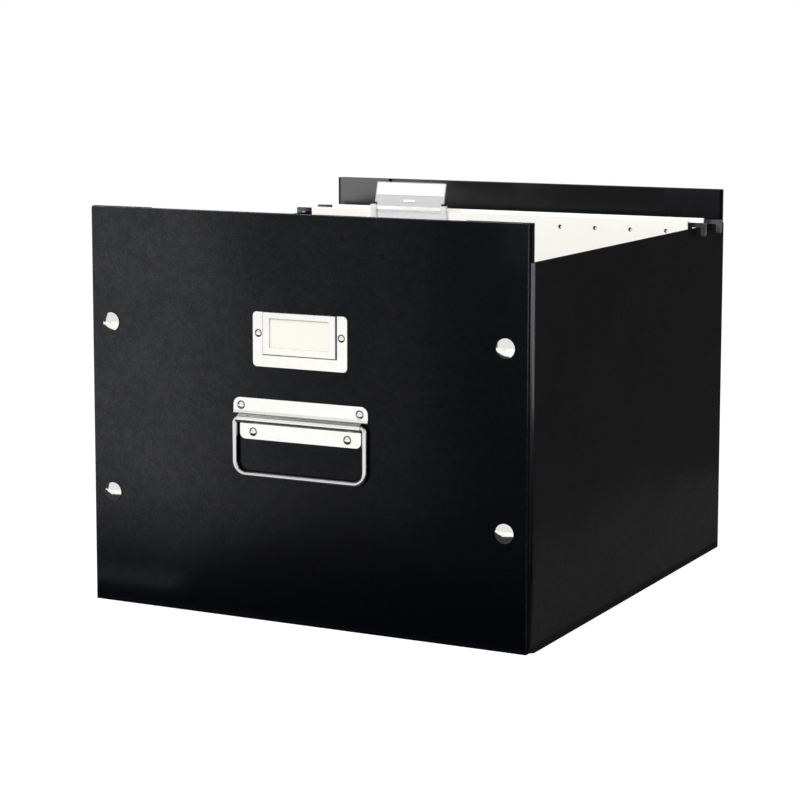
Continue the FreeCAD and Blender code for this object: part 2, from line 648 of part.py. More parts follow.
def build_bail(y):
    """The bail: straight runs of wire joined by quarter bends, its ends inside the barrel."""
    leg_half = "(barrel_length / 2 + bail_top_bend)"
    grip_half = f"({leg_half} - bail_bend)"
    grip_level = f"{HANDLE_AXIS} - bail_drop"
    runs = []
    for side, sign in (("left", "-"), ("right", "")):
        bar = doc.addObject("Part::Cylinder", f"bail_{side}_end")
        start = "-barrel_length / 2" if side == "left" else "wire_end_gap / 2"
        bar.Placement.Rotation = FreeCAD.Rotation(FreeCAD.Vector(0, 1, 0), 90)
        bind(bar, "Height", "(barrel_length - wire_end_gap) / 2")
        place(bar, start, y, HANDLE_AXIS)
        leg = doc.addObject("Part::Cylinder", f"bail_{side}_leg")
        bind(leg, "Height", "bail_drop - bail_top_bend - bail_bend")
        place(leg, f"{sign}{leg_half}", y, f"{grip_level} + bail_bend")
        runs += [bar, leg]
    grip = doc.addObject("Part::Cylinder", "bail_grip")
    grip.Placement.Rotation = FreeCAD.Rotation(FreeCAD.Vector(0, 1, 0), 90)
    bind(grip, "Height", f"2 * {grip_half}")
    place(grip, f"-{grip_half}", y, grip_level)
    runs.append(grip)
    for run in runs:
        bind(run, "Radius", "wire / 2")
    bends = [
        ("-barrel_length / 2", f"{HANDLE_AXIS} - bail_top_bend", "bail_top_bend", 90),
        ("barrel_length / 2", f"{HANDLE_AXIS} - bail_top_bend", "bail_top_bend", 0),
        (f"-{grip_half}", f"{grip_level} + bail_bend", "bail_bend", 180),
        (grip_half, f"{grip_level} + bail_bend", "bail_bend", 270),
    ]
    for number, (x, z, radius, quarter) in enumerate(bends, start=1):
        bend = doc.addObject("Part::Torus", f"bail_bend_{number}")
        bind(bend, "Radius1", radius)
        bind(bend, "Radius2", "wire / 2")
        bend.Angle3 = 90
        runs.append(place(bend, x, y, z, TO_FRONT, quarter))
    finish(fuse("handle_bail", runs), "handle_bail")


def in_leaf(thing, lean):
    """Stand a piece in a leaf's frame: on the bottom fold, leaning with its leaf."""
    return place(thing, y=FOLD_PLACE, z="fold_level", turn=lean)


def punch_leaf(body, near_face, far_face):
    """The row of holes in the leaf's outer sheet, in front of the hem."""
    holes = new_sketch(body, "XZ_Plane", f"-({near_face} + {far_face}) / 2")
    count = int(value("hole_count"))
    for number in range(count):
        step = number - (count - 1) / 2
        across = "0" if step == 0 else f"{step} * {HOLE_PITCH}"
        draw_circle(holes, across, f"{LEAF_TOP} - hole_drop", "leaf_hole")
    pocket(body, holes, "2 * card_sheet", side="Symmetric")


def build_leaf(name, near_face, far_face, hem_far, foot):
    """One leaf of card with its hem turned inwards over a rail."""
    body = new_body(name)
    hem_near = f"{hem_far} - card_sheet" if name.startswith("front") else f"{hem_far} + card_sheet"
    corners = [
        (near_face, foot),
        (near_face, LEAF_TOP),
        (hem_far, LEAF_TOP),
        (hem_far, f"{LEAF_TOP} - hem_depth"),
        (hem_near, f"{LEAF_TOP} - hem_depth"),
        (hem_near, f"{LEAF_TOP} - card_sheet"),
        (far_face, f"{LEAF_TOP} - card_sheet"),
        (far_face, foot),
    ]
    pad(body, draw_outline(new_sketch(body, "YZ_Plane"), corners), LEAF_WIDTH, side="Symmetric")
    punch_leaf(body, near_face, far_face)
    return body


def build_rail(label, lift, lean):
    """A flat steel rail in its hem, notched at both ends over the rims of the walls."""
    notch_far = "(box_width / 2 + hook_play_outside)"
    notch_near = "(box_width / 2 - board - hook_play_inside)"
    half = f"({notch_far} + hook_lobe)"
    shoulder = f"({notch_near} - hook_shoulder)"
    foot = f"{NOTCH_TOP} - hook_drop"
    right = [
        (shoulder, NOTCH_TOP),
        (shoulder, foot),
        (notch_near, foot),
        (notch_near, NOTCH_TOP),
        (notch_far, NOTCH_TOP),
        (notch_far, foot),
        (half, foot),
        (half, f"{NOTCH_TOP} + rail_bar"),
    ]
    left = [(f"-{across}", up) for across, up in reversed(right)]
    body = new_body(f"{label}_body")
    outline = new_sketch(body, "XZ_Plane", lift)
    pad(body, draw_outline(outline, right + left), "rail_thick", side="Symmetric")
    low = value(foot)
    lobes = [(sign * value(text), low) for sign in (-1, 1) for text in (half, notch_far)]
    tops = [(sign * value(half), value(f"{NOTCH_TOP} + rail_bar")) for sign in (-1, 1)]
    round_edges(body, "lobe_round", lambda middle, way: abs(way.y) > 0.9 and near(middle, "xz", *lobes))
    round_edges(body, "lobe_round / 2", lambda middle, way: abs(way.y) > 0.9 and near(middle, "xz", *tops))
    in_leaf(body, lean)
    finish(body, label)


def build_folder():
    """The hanging folder: two leaves that meet in a bottom fold, and the rails that carry them."""
    half_sheet = "(card_sheet / 2)"
    fold_inner = f"({half_sheet} + fold_play)"
    front_rail = f"({half_sheet} + {HEM_SPACE} / 2)"
    back_rail = f"({fold_inner} - {HEM_SPACE} / 2)"
    front = build_leaf("front_leaf_body", f"-{half_sheet}", half_sheet,
                       f"({half_sheet} + {HEM_SPACE} + card_sheet)", f"-{half_sheet}")
    in_leaf(front, LEAN)
    finish(front, "folder_front_leaf")
    back = build_leaf("back_leaf_body", f"({fold_inner} + card_sheet)", fold_inner,
                      f"({fold_inner} - {HEM_SPACE} - card_sheet)", "0")
    shell = doc.addObject("Part::Cylinder", "fold_outside")
    bind(shell, "Radius", f"{fold_inner} + card_sheet")
    space = doc.addObject("Part::Cylinder", "fold_inside")
    bind(space, "Radius", fold_inner)
    for half_round in (shell, space):
        half_round.Angle = 180
        bind(half_round, "Height", LEAF_WIDTH)
        lay_along = FreeCAD.Rotation(FreeCAD.Vector(0, 1, 0), 90)
        downwards = FreeCAD.Rotation(FreeCAD.Vector(0, 0, 1), -90)
        half_round.Placement = FreeCAD.Placement(FreeCAD.Vector(0, 0, 0), lay_along.multiply(downwards))
        bind(half_round, "Placement.Base.x", f"-{LEAF_WIDTH} / 2")
    joined = fuse("back_leaf_joined", [back, cut("fold_shell", shell, space)])
    in_leaf(joined, f"-{LEAN}")
    finish(joined, "folder_back_leaf")
    build_rail("folder_front_rail", f"-{front_rail}", LEAN)
    build_rail("folder_back_rail", f"-{back_rail}", f"-{LEAN}")


def build_tab():
    """The clear index tab: a clip on the front leaf, a sleeve that tilts in it, and its insert."""
    clip_back = "(card_sheet / 2 + clip_gap)"
    ear_far = "(clip_width / 2 + ear_width)"
    axis_up = f"({LEAF_TOP} + tab_axis_rise)"
    axis_out = f"({clip_back} + tab_axis_stand)"
    clip = new_body("tab_clip_body")
    plate = new_sketch(clip, "XZ_Plane", clip_back)
    draw_box(plate, f"{TAB_CENTRE} - {ear_far}", f"{LEAF_TOP} - clip_drop",
             f"{TAB_CENTRE} + {ear_far}", f"{LEAF_TOP} - card_sheet")
    pad(clip, plate, "clip_sheet")
    ears = new_sketch(clip, "XZ_Plane", clip_back)
    for near_end, far_end in ((f"- {ear_far}", "- clip_width / 2"), ("+ clip_width / 2", f"+ {ear_far}")):
        draw_box(ears, f"{TAB_CENTRE} {near_end}", f"{LEAF_TOP} - ear_drop",
                 f"{TAB_CENTRE} {far_end}", f"{LEAF_TOP} + ear_rise")
    pad(clip, ears, "ear_depth")
    tongues = new_sketch(clip, "XZ_Plane", clip_back)
    for sign in ("-", "+"):
        draw_circle(tongues, f"{TAB_CENTRE} {sign} {HOLE_PITCH} / 2", f"{LEAF_TOP} - hole_drop", "tongue")
    pad(clip, tongues, "clip_gap + card_sheet", flip=True)
    bores = new_sketch(clip, "YZ_Plane", TAB_CENTRE)
    draw_circle(bores, f"-{axis_out}", axis_up, "tab_pin + 2 * pin_play")
    pocket(clip, bores, f"2 * {ear_far}", side="Symmetric")
    in_leaf(clip, LEAN)
    finish(clip, "tab_clip")
    build_tab_sleeve(axis_out, axis_up)


def on_tab_axis(thing, axis_out, axis_up):
    """Stand a piece on the tab's pivot, leaning back from its leaf."""
    lean_y = f"{FOLD_PLACE} - {axis_out} * cos({LEAN}) - {axis_up} * sin({LEAN})"
    lean_z = f"fold_level - {axis_out} * sin({LEAN}) + {axis_up} * cos({LEAN})"
    return place(thing, TAB_CENTRE, lean_y, lean_z, f"{LEAN} - tab_lean_angle * 1 deg")


def build_tab_sleeve(axis_out, axis_up):
    """The tab's sleeve on its pivot bar, and the paper insert inside it."""
    slot = "(insert_thick / 2 + insert_play)"
    skin = f"({slot} + sleeve_wall)"
    bar_half = "(clip_width / 2 - tab_end_gap)"
    sleeve = new_body("tab_sleeve_body")
    neck = new_sketch(sleeve, "YZ_Plane")
    draw_box(neck, "-tab_neck / 2", "0", "tab_neck / 2", "sleeve_start + sleeve_wall")
    pad(sleeve, neck, f"2 * {bar_half}", side="Symmetric")
    jacket = new_sketch(sleeve, "YZ_Plane")
    draw_box(jacket, f"-{skin}", "sleeve_start", skin, "sleeve_top")
    pad(sleeve, jacket, "tab_width", side="Symmetric")
    bar = new_sketch(sleeve, "YZ_Plane")
    draw_circle(bar, "0", "0", "tab_barrel")
    pad(sleeve, bar, f"2 * {bar_half}", side="Symmetric")
    pins = new_sketch(sleeve, "YZ_Plane")
    draw_circle(pins, "0", "0", "tab_pin")
    pad(sleeve, pins, "clip_width + 2 * tab_pin_reach", side="Symmetric")
    hollow = new_sketch(sleeve, "YZ_Plane")
    draw_box(hollow, f"-{slot}", "sleeve_start + sleeve_foot", slot, "sleeve_top - sleeve_wall")
    pocket(sleeve, hollow, "2 * tab_width", side="Symmetric")
    ridge = new_sketch(sleeve, "XZ_Plane", skin)
    draw_box(ridge, "-foot_ridge / 2", "sleeve_start + foot_ridge_rise",
             "foot_ridge / 2", "sleeve_start + foot_ridge_rise + foot_ridge_height")
    pad(sleeve, ridge, "foot_ridge_stand")
    on_tab_axis(sleeve, axis_out, axis_up)
    finish(sleeve, "tab_sleeve")
    insert = new_body("tab_insert_body")
    paper = new_sketch(insert, "XZ_Plane")
    draw_box(paper, "-tab_width / 2 + insert_inset", "sleeve_start + sleeve_foot + insert_play",
             "tab_width / 2 - insert_inset", "sleeve_top - sleeve_wall - insert_play")
    pad(insert, paper, "insert_thick", side="Symmetric")
    on_tab_axis(insert, axis_out, axis_up)
    finish(insert, "tab_insert")


build_base()
build_wall("left_wall", -1)
build_wall("right_wall", 1)
build_panel("front_board", FRONT_FACE, True, LABEL_RIVETS + HANDLE_RIVETS)
build_panel("back_board", BACK_FACE, False, [])
build_studs("front", FRONT_FACE, TO_FRONT)
build_studs("back", BACK_FACE, TO_BACK)
build_label_holder()
build_rivets("label", LABEL_RIVETS, "label_sheet", "label_rivet_head", "label_rivet_crown")
build_handle()
build_rivets("handle", HANDLE_RIVETS, "handle_sheet", "handle_rivet_head", "handle_rivet_crown")
build_folder()
build_tab()
doc.recompute()

for thing in doc.Objects:
    if "Invalid" in thing.State or "Error" in thing.State:
        raise RuntimeError(f"{thing.Name} failed: {thing.State}")
for thing in finished:
    if thing.Shape.isNull() or not thing.Shape.isValid():
        raise RuntimeError(f"{thing.Label} has no valid shape")

os.makedirs("parts", exist_ok=True)
for thing in finished:
    thing.Shape.exportStep(f"parts/{thing.Label}.step")
    box = thing.Shape.BoundBox
    print(f"{thing.Label}: {len(thing.Shape.Solids)} solids, {thing.Shape.Volume:.1f} mm3, "
          f"X {box.XMin:.1f}..{box.XMax:.1f} Y {box.YMin:.1f}..{box.YMax:.1f} Z {box.ZMin:.1f}..{box.ZMax:.1f}")
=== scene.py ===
"""Archive box for hanging files: embossed black film, nickel fittings and one cream folder."""

import json
import logging
import math
from dataclasses import dataclass, field
from enum import Enum
from typing import Callable

import bpy
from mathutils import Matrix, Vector


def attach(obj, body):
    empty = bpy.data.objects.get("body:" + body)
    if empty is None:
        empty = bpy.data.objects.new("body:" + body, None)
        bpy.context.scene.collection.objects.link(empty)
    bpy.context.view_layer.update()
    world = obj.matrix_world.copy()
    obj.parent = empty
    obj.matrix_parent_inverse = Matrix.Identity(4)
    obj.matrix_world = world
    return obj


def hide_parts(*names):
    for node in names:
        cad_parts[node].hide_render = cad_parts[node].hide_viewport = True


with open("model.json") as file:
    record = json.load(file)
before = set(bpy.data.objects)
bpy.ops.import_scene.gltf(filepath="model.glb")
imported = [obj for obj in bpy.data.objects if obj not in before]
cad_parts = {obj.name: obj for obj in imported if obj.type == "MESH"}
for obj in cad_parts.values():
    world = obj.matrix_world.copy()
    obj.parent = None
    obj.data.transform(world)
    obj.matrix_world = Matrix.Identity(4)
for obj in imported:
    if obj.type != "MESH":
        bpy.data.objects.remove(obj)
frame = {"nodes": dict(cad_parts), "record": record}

LOG = logging.getLogger("archive_box")
MM = 0.001

# Faces that meet at less than this many degrees belong to one curved surface.
SMOOTH_UNDER = 35.0

BODY_OF = {node: body for body, nodes in frame["record"]["behaviour"]["bodies"].items() for node in nodes}

Colour = tuple[float, float, float]
Point = tuple[float, float, float]
Wire = bpy.types.NodeSocket | float | tuple


class Ray(Enum):
    """The kinds of ray that see the pale background as it is."""

    CAMERA = "Is Camera Ray"
    GLOSSY = "Is Glossy Ray"
    TRANSMISSION = "Is Transmission Ray"


class Role(Enum):
    """What a lamp or a flag is for."""

    FILL = "lights the object and stays out of its gloss"
    GLOSS = "shows in the gloss alone"
    KEY = "does both"


class Subject(Enum):
    """What a lamp shines on."""

    ALL = "everything"
    FILM = "the black film"
    REAR = "the film of the back board"
    FOLDER = "the hanging folder"


@dataclass
class Graph:
    """A node tree that is being wired.

    Args:
        tree: The node tree of a material, the world or a group.
    """

    tree: bpy.types.NodeTree

    def add(self, kind: str, wires: dict | None = None, **settings: object) -> bpy.types.Node:
        """Adds a node.

        Args:
            kind: The node's Blender type.
            wires: A value or a socket for each named or numbered input.
            **settings: Properties of the node itself.

        Returns:
            The new node.
        """
        node = self.tree.nodes.new(kind)
        for key, setting in settings.items():
            setattr(node, key, setting)
        for key, source in (wires or {}).items():
            self.feed(node.inputs[key], source)
        return node

    def feed(self, socket: bpy.types.NodeSocket, source: Wire) -> None:
        """Links a socket to another, or sets its value.

        Args:
            socket: The input to feed.
            source: A socket, or a plain value.
        """
        if isinstance(source, bpy.types.NodeSocket):
            self.tree.links.new(source, socket)
        else:
            socket.default_value = source

    def math(self, operation: str, first: Wire, second: Wire = 0.0) -> bpy.types.NodeSocket:
        """Joins two numbers by a Math node and returns its output."""
        return self.add("ShaderNodeMath", {0: first, 1: second}, operation=operation).outputs[0]

    def span(self, number: Wire, low: float, high: float, first: Wire = 0.0, last: Wire = 1.0) -> bpy.types.NodeSocket:
        """Maps a number smoothly from one range to another.

        Args:
            number: What is mapped.
            low: Where the range starts.
            high: Where it ends.
            first: The result at its start.
            last: The result at its end.

        Returns:
            The mapped number.
        """
        wires = {"Value": number, "From Min": low, "From Max": high, "To Min": first, "To Max": last}
        return self.add("ShaderNodeMapRange", wires, interpolation_type="SMOOTHSTEP").outputs["Result"]

    def mix(self, factor: Wire, first: Wire, second: Wire) -> bpy.types.NodeSocket:
        """Mixes two colours and returns the result."""
        node = self.add("ShaderNodeMix", {"Factor": factor}, data_type="RGBA")
        self.feed(node.inputs[6], first)
        self.feed(node.inputs[7], second)
        return node.outputs[2]

    def along(self, point: Wire, axis: Point) -> bpy.types.NodeSocket:
        """Returns how far a point lies along an axis."""
        return self.add("ShaderNodeVectorMath", {0: point, 1: axis}, operation="DOT_PRODUCT").outputs["Value"]

    def place(self) -> bpy.types.NodeSocket:
        """Returns the point on the object, in metres."""
        return self.add("ShaderNodeTexCoord").outputs["Object"]

    def stretch(self, point: Wire, scale: Point) -> bpy.types.NodeSocket:
        """Scales a point along each axis."""
        return self.add("ShaderNodeMapping", {"Vector": point, "Scale": scale}).outputs["Vector"]

    def noise(self, point: Wire, scale: Wire, detail: float = 3.0, roughness: float = 0.5) -> bpy.types.NodeSocket:
        """Returns a soft random number at each point."""
        wires = {"Vector": point, "Scale": scale, "Detail": detail, "Roughness": roughness}
        return self.add("ShaderNodeTexNoise", wires).outputs["Fac"]


def make_group(
    name: str,
    inputs: dict[str, float],
    outputs: list[str],
    wire: Callable[[Graph, dict, dict], None],
) -> bpy.types.NodeTree:
    """Makes a node group of plain numbers.

    Args:
        name: The group's name.
        inputs: Each input's name and usual value.
        outputs: The outputs' names.
        wire: Fills the group, given its graph, its inputs and its outputs by name.

    Returns:
        The group's node tree.
    """
    tree = bpy.data.node_groups.new(name, "ShaderNodeTree")
    tree.interface.new_socket("Point", in_out="INPUT", socket_type="NodeSocketVector")
    for label, usual in inputs.items():
        tree.interface.new_socket(label, in_out="INPUT", socket_type="NodeSocketFloat").default_value = usual
    for label in outputs:
        tree.interface.new_socket(label, in_out="OUTPUT", socket_type="NodeSocketFloat")
    graph = Graph(tree)
    entry = graph.add("NodeGroupInput")
    leave = graph.add("NodeGroupOutput")
    wire(graph, {s.name: s for s in entry.outputs}, {s.name: s for s in leave.inputs})
    return tree


def wire_grain(graph: Graph, given: dict, out: dict) -> None:
    """Leather-like embossing: rounded cells with soft valleys, drawn out a little upwards."""
    drawn = graph.stretch(given["Point"], (1.0, 1.0, 0.72))
    warp = graph.add("ShaderNodeTexNoise", {"Vector": drawn, "Scale": 420.0, "Detail": 2.0})
    shift = graph.add("ShaderNodeVectorMath", {0: warp.outputs["Color"], 1: (0.0011, 0.0011, 0.0011)}, operation="MULTIPLY")
    moved = graph.add("ShaderNodeVectorMath", {0: drawn, 1: shift.outputs[0]}, operation="ADD").outputs[0]
    wires = {"Vector": moved, "Scale": given["Cells"], "Smoothness": 0.35}
    cells = graph.add("ShaderNodeTexVoronoi", wires, feature="SMOOTH_F1").outputs["Distance"]
    pebbles = graph.span(cells, 0.1, 0.62, 1.0, 0.0)
    pores = graph.noise(moved, graph.math("MULTIPLY", given["Cells"], 2.6), 2.0)
    height = graph.math("ADD", pebbles, graph.math("MULTIPLY", pores, 0.35))
    graph.feed(out["Height"], height)
    patches = graph.noise(given["Point"], 210.0, 3.0, 0.6)
    skin = graph.span(height, 0.35, 1.2, 0.82, 1.18)
    shine = graph.math("MULTIPLY", skin, graph.span(patches, 0.3, 0.7, 0.88, 1.12))
    graph.feed(out["Shine"], shine)


def wire_smudge(graph: Graph, given: dict, out: dict) -> None:
    """Broad handling marks and a fine haze of dust."""
    broad = graph.noise(given["Point"], given["Marks"], 4.0, 0.62)
    fine = graph.noise(given["Point"], 900.0, 2.0)
    graph.feed(out["Marks"], graph.span(broad, 0.32, 0.72))
    graph.feed(out["Dust"], graph.math("MULTIPLY", graph.span(fine, 0.56, 0.8), graph.span(broad, 0.45, 0.8)))


def wire_edge(graph: Graph, given: dict, out: dict) -> None:
    """How near a point lies to the rim of an upright rectangle, broken up by wear."""
    parts = graph.add("ShaderNodeSeparateXYZ", {"Vector": given["Point"]}).outputs
    side = graph.math("SUBTRACT", given["Half Width"], graph.math("ABSOLUTE", parts["X"]))
    top = graph.math("SUBTRACT", given["Top"], parts["Z"])
    gap = graph.math("MINIMUM", graph.math("MINIMUM", side, top), parts["Z"])
    chips = graph.noise(given["Point"], 160.0, 4.0, 0.7)
    reach = graph.math("MULTIPLY", given["Reach"], graph.span(chips, 0.3, 0.75, 0.2, 1.6))
    graph.feed(out["Edge"], graph.math("SUBTRACT", 1.0, graph.math("DIVIDE", gap, reach)))


def wire_rub(graph: Graph, given: dict, out: dict) -> None:
    """Fine polishing lines along X with short scratches across them."""
    lines = graph.noise(graph.stretch(given["Point"], (1.0, 22.0, 22.0)), given["Lines"], 3.0, 0.6)
    scratches = graph.noise(graph.stretch(given["Point"], (9.0, 3.0, 0.6)), 620.0, 2.0)
    graph.feed(out["Lines"], lines)
    graph.feed(out["Scratches"], graph.span(scratches, 0.62, 0.74))


def wire_fibre(graph: Graph, given: dict, out: dict) -> None:
    """Pressed card: fine felted fibres and a slow drift of tone."""
    along = graph.noise(graph.stretch(given["Point"], (1.0, 1.0, 3.5)), given["Fibres"], 4.0, 0.65)
    across = graph.noise(graph.stretch(given["Point"], (3.5, 1.0, 1.0)), given["Fibres"], 4.0, 0.65)
    graph.feed(out["Height"], graph.math("MULTIPLY", graph.math("ADD", along, across), 0.5))
    graph.feed(out["Drift"], graph.noise(given["Point"], 14.0, 3.0))


class Effects:
    """The node groups that several finishes share."""

    def __init__(self) -> None:
        """Builds every shared group once."""
        self.grain = make_group("embossed_grain", {"Cells": 900.0}, ["Height", "Shine"], wire_grain)
        self.smudge = make_group("handling_marks", {"Marks": 16.0}, ["Marks", "Dust"], wire_smudge)
        edge = {"Half Width": 0.1645, "Top": 0.276, "Reach": 0.0012}
        self.edge = make_group("worn_rim", edge, ["Edge"], wire_edge)
        self.rub = make_group("polishing_lines", {"Lines": 300.0}, ["Lines", "Scratches"], wire_rub)
        self.fibre = make_group("card_fibres", {"Fibres": 700.0}, ["Height", "Drift"], wire_fibre)

    @staticmethod
    def use(graph: Graph, group: bpy.types.NodeTree, point: Wire, **values: float) -> dict:
        """Places a group in a material.

        Args:
            graph: The material's graph.
            group: The shared group.
            point: The point that the group works from.
            **values: The group's inputs, with spaces written as underscores.

        Returns:
            The group's outputs by name.
        """
        wires = {"Point": point} | {key.replace("_", " "): number for key, number in values.items()}
        node = graph.add("ShaderNodeGroup", None, node_tree=group)
        for key, source in wires.items():
            graph.feed(node.inputs[key], source)
        return {socket.name: socket for socket in node.outputs}


def start_material(name: str) -> tuple[bpy.types.Material, Graph, bpy.types.Node]:
    """Starts a material with a bare Principled shader.

    Args:
        name: The material's name.

    Returns:
        The material, its graph and its shader node.
    """
    material = bpy.data.materials.new(name)
    material.use_nodes = True
    material.node_tree.nodes.clear()
    graph = Graph(material.node_tree)
    shader = graph.add("ShaderNodeBsdfPrincipled")
    output = graph.add("ShaderNodeOutputMaterial")
    graph.feed(output.inputs["Surface"], shader.outputs[0])
    return material, graph, shader


@dataclass(frozen=True)
class FilmFinish:
    """Black film with an embossed grain, stretched over board.

    Args:
        name: The material's name.
        colour: Its colour.
        shine: How much of its glossy skin shows.
        cells: Grain cells to the metre.
        depth: Depth of the embossing in metres.
        half_width: From the middle to the worn side edges.
        top: Level of the worn top edge.
        bend: Distances from the middle, across and in depth, past which the film is pulled smooth.
        bend_shine: How much of the glossy skin shows there.
        inside: Nearest and farthest depth, and distance from the middle, within which the film looks into the box.
        inside_shine: How much of its glossy skin shows there, where no hand has dulled it.
    """

    name: str
    colour: Colour = (0.0013, 0.0015, 0.0024)
    shine: float = 0.043
    cells: float = 900.0
    depth: float = 0.0001
    half_width: float = 0.1645
    top: float = 0.276
    bend: tuple[float, float] | None = None
    bend_shine: float = 0.1
    inside: Point | None = None
    inside_shine: float = 0.85

    def pull_smooth(self, graph: Graph, point: Wire, skin: Wire) -> bpy.types.NodeSocket:
        """Raises the shine where the film is pulled tight round an upright bend.

        Args:
            graph: The material's graph.
            point: The point on the object.
            skin: The shine of the rest.

        Returns:
            The shine all over.
        """
        parts = graph.add("ShaderNodeSeparateXYZ", {"Vector": point}).outputs
        tight = 1.0
        for axis, start in zip("XY", self.bend):
            far = graph.span(graph.math("ABSOLUTE", parts[axis]), start, start + 0.0012)
            tight = graph.math("MULTIPLY", far, tight)
        more = graph.math("MULTIPLY", tight, self.bend_shine)
        return graph.math("MAXIMUM", skin, more)

    def keep_polish(self, graph: Graph, point: Wire, skin: Wire) -> bpy.types.NodeSocket:
        """Keeps the full shine on the face that looks into the box.

        Args:
            graph: The material's graph.
            point: The point on the object.
            skin: The shine of the rest.

        Returns:
            The shine all over.
        """
        near, far, half_width = self.inside
        parts = graph.add("ShaderNodeSeparateXYZ", {"Vector": point}).outputs
        past = graph.span(parts["Y"], near, near + 0.0004)
        before = graph.span(parts["Y"], far, far + 0.0004, 1.0, 0.0)
        within = graph.span(graph.math("ABSOLUTE", parts["X"]), half_width, half_width + 0.0004, 1.0, 0.0)
        kept = graph.math("MULTIPLY", graph.math("MULTIPLY", past, before), within)
        return graph.math("MAXIMUM", skin, graph.math("MULTIPLY", kept, self.inside_shine))

    def material(self, effects: Effects) -> bpy.types.Material:
        """Builds the film's material.

        Args:
            effects: The shared node groups.

        Returns:
            The finished material.
        """
        material, graph, shader = start_material(self.name)
        point = graph.place()
        grain = effects.use(graph, effects.grain, point, Cells=self.cells)
        marks = effects.use(graph, effects.smudge, point)
        rim = effects.use(graph, effects.edge, point, Half_Width=self.half_width, Top=self.top)
        worn = graph.span(rim["Edge"], 0.0, 1.0)
        black = (*self.colour, 1.0)
        dusty = graph.mix(graph.math("MULTIPLY", marks["Dust"], 0.12), black, (0.05, 0.05, 0.052, 1.0))
        bright = graph.mix(graph.math("MULTIPLY", worn, 0.25), dusty, (0.03, 0.03, 0.032, 1.0))
        graph.feed(shader.inputs["Base Color"], bright)
        graph.feed(shader.inputs["Roughness"], graph.span(marks["Marks"], 0.0, 1.0, 0.42, 0.55))
        skin = graph.math("MULTIPLY", grain["Shine"], self.shine)
        wiped = graph.math("MULTIPLY", skin, graph.span(marks["Marks"], 0.0, 1.0, 1.0, 0.85))
        if self.bend:
            wiped = self.pull_smooth(graph, point, wiped)
        if self.inside:
            wiped = self.keep_polish(graph, point, wiped)
        graph.feed(shader.inputs["Coat Weight"], wiped)
        shader.inputs["Specular IOR Level"].default_value = 0.0
        shader.inputs["Coat Roughness"].default_value = 0.24
        bump = graph.add("ShaderNodeBump", {"Height": grain["Height"], "Distance": self.depth, "Strength": 1.0})
        graph.feed(shader.inputs["Normal"], bump.outputs[0])
        return material


@dataclass(frozen=True)
class LiningFinish:
    """Matt black paper that lines the floor of the box.

    Args:
        name: The material's name.
        colour: Its colour.
    """

    name: str
    colour: Colour = (0.012, 0.012, 0.013)

    def material(self, effects: Effects) -> bpy.types.Material:
        """Builds the lining's material.

        Args:
            effects: The shared node groups.

        Returns:
            The finished material.
        """
        material, graph, shader = start_material(self.name)
        point = graph.place()
        fibre = effects.use(graph, effects.fibre, point, Fibres=900.0)
        marks = effects.use(graph, effects.smudge, point, Marks=9.0)
        paler = graph.mix(graph.math("MULTIPLY", marks["Marks"], 0.35), (*self.colour, 1.0), (0.02, 0.02, 0.021, 1.0))
        graph.feed(shader.inputs["Base Color"], graph.mix(marks["Dust"], paler, (0.06, 0.06, 0.062, 1.0)))
        graph.feed(shader.inputs["Roughness"], graph.span(fibre["Height"], 0.3, 0.7, 0.62, 0.85))
        shader.inputs["Specular IOR Level"].default_value = 0.15
        bump = graph.add("ShaderNodeBump", {"Height": fibre["Height"], "Distance": 0.00004, "Strength": 0.8})
        graph.feed(shader.inputs["Normal"], bump.outputs[0])
        return material


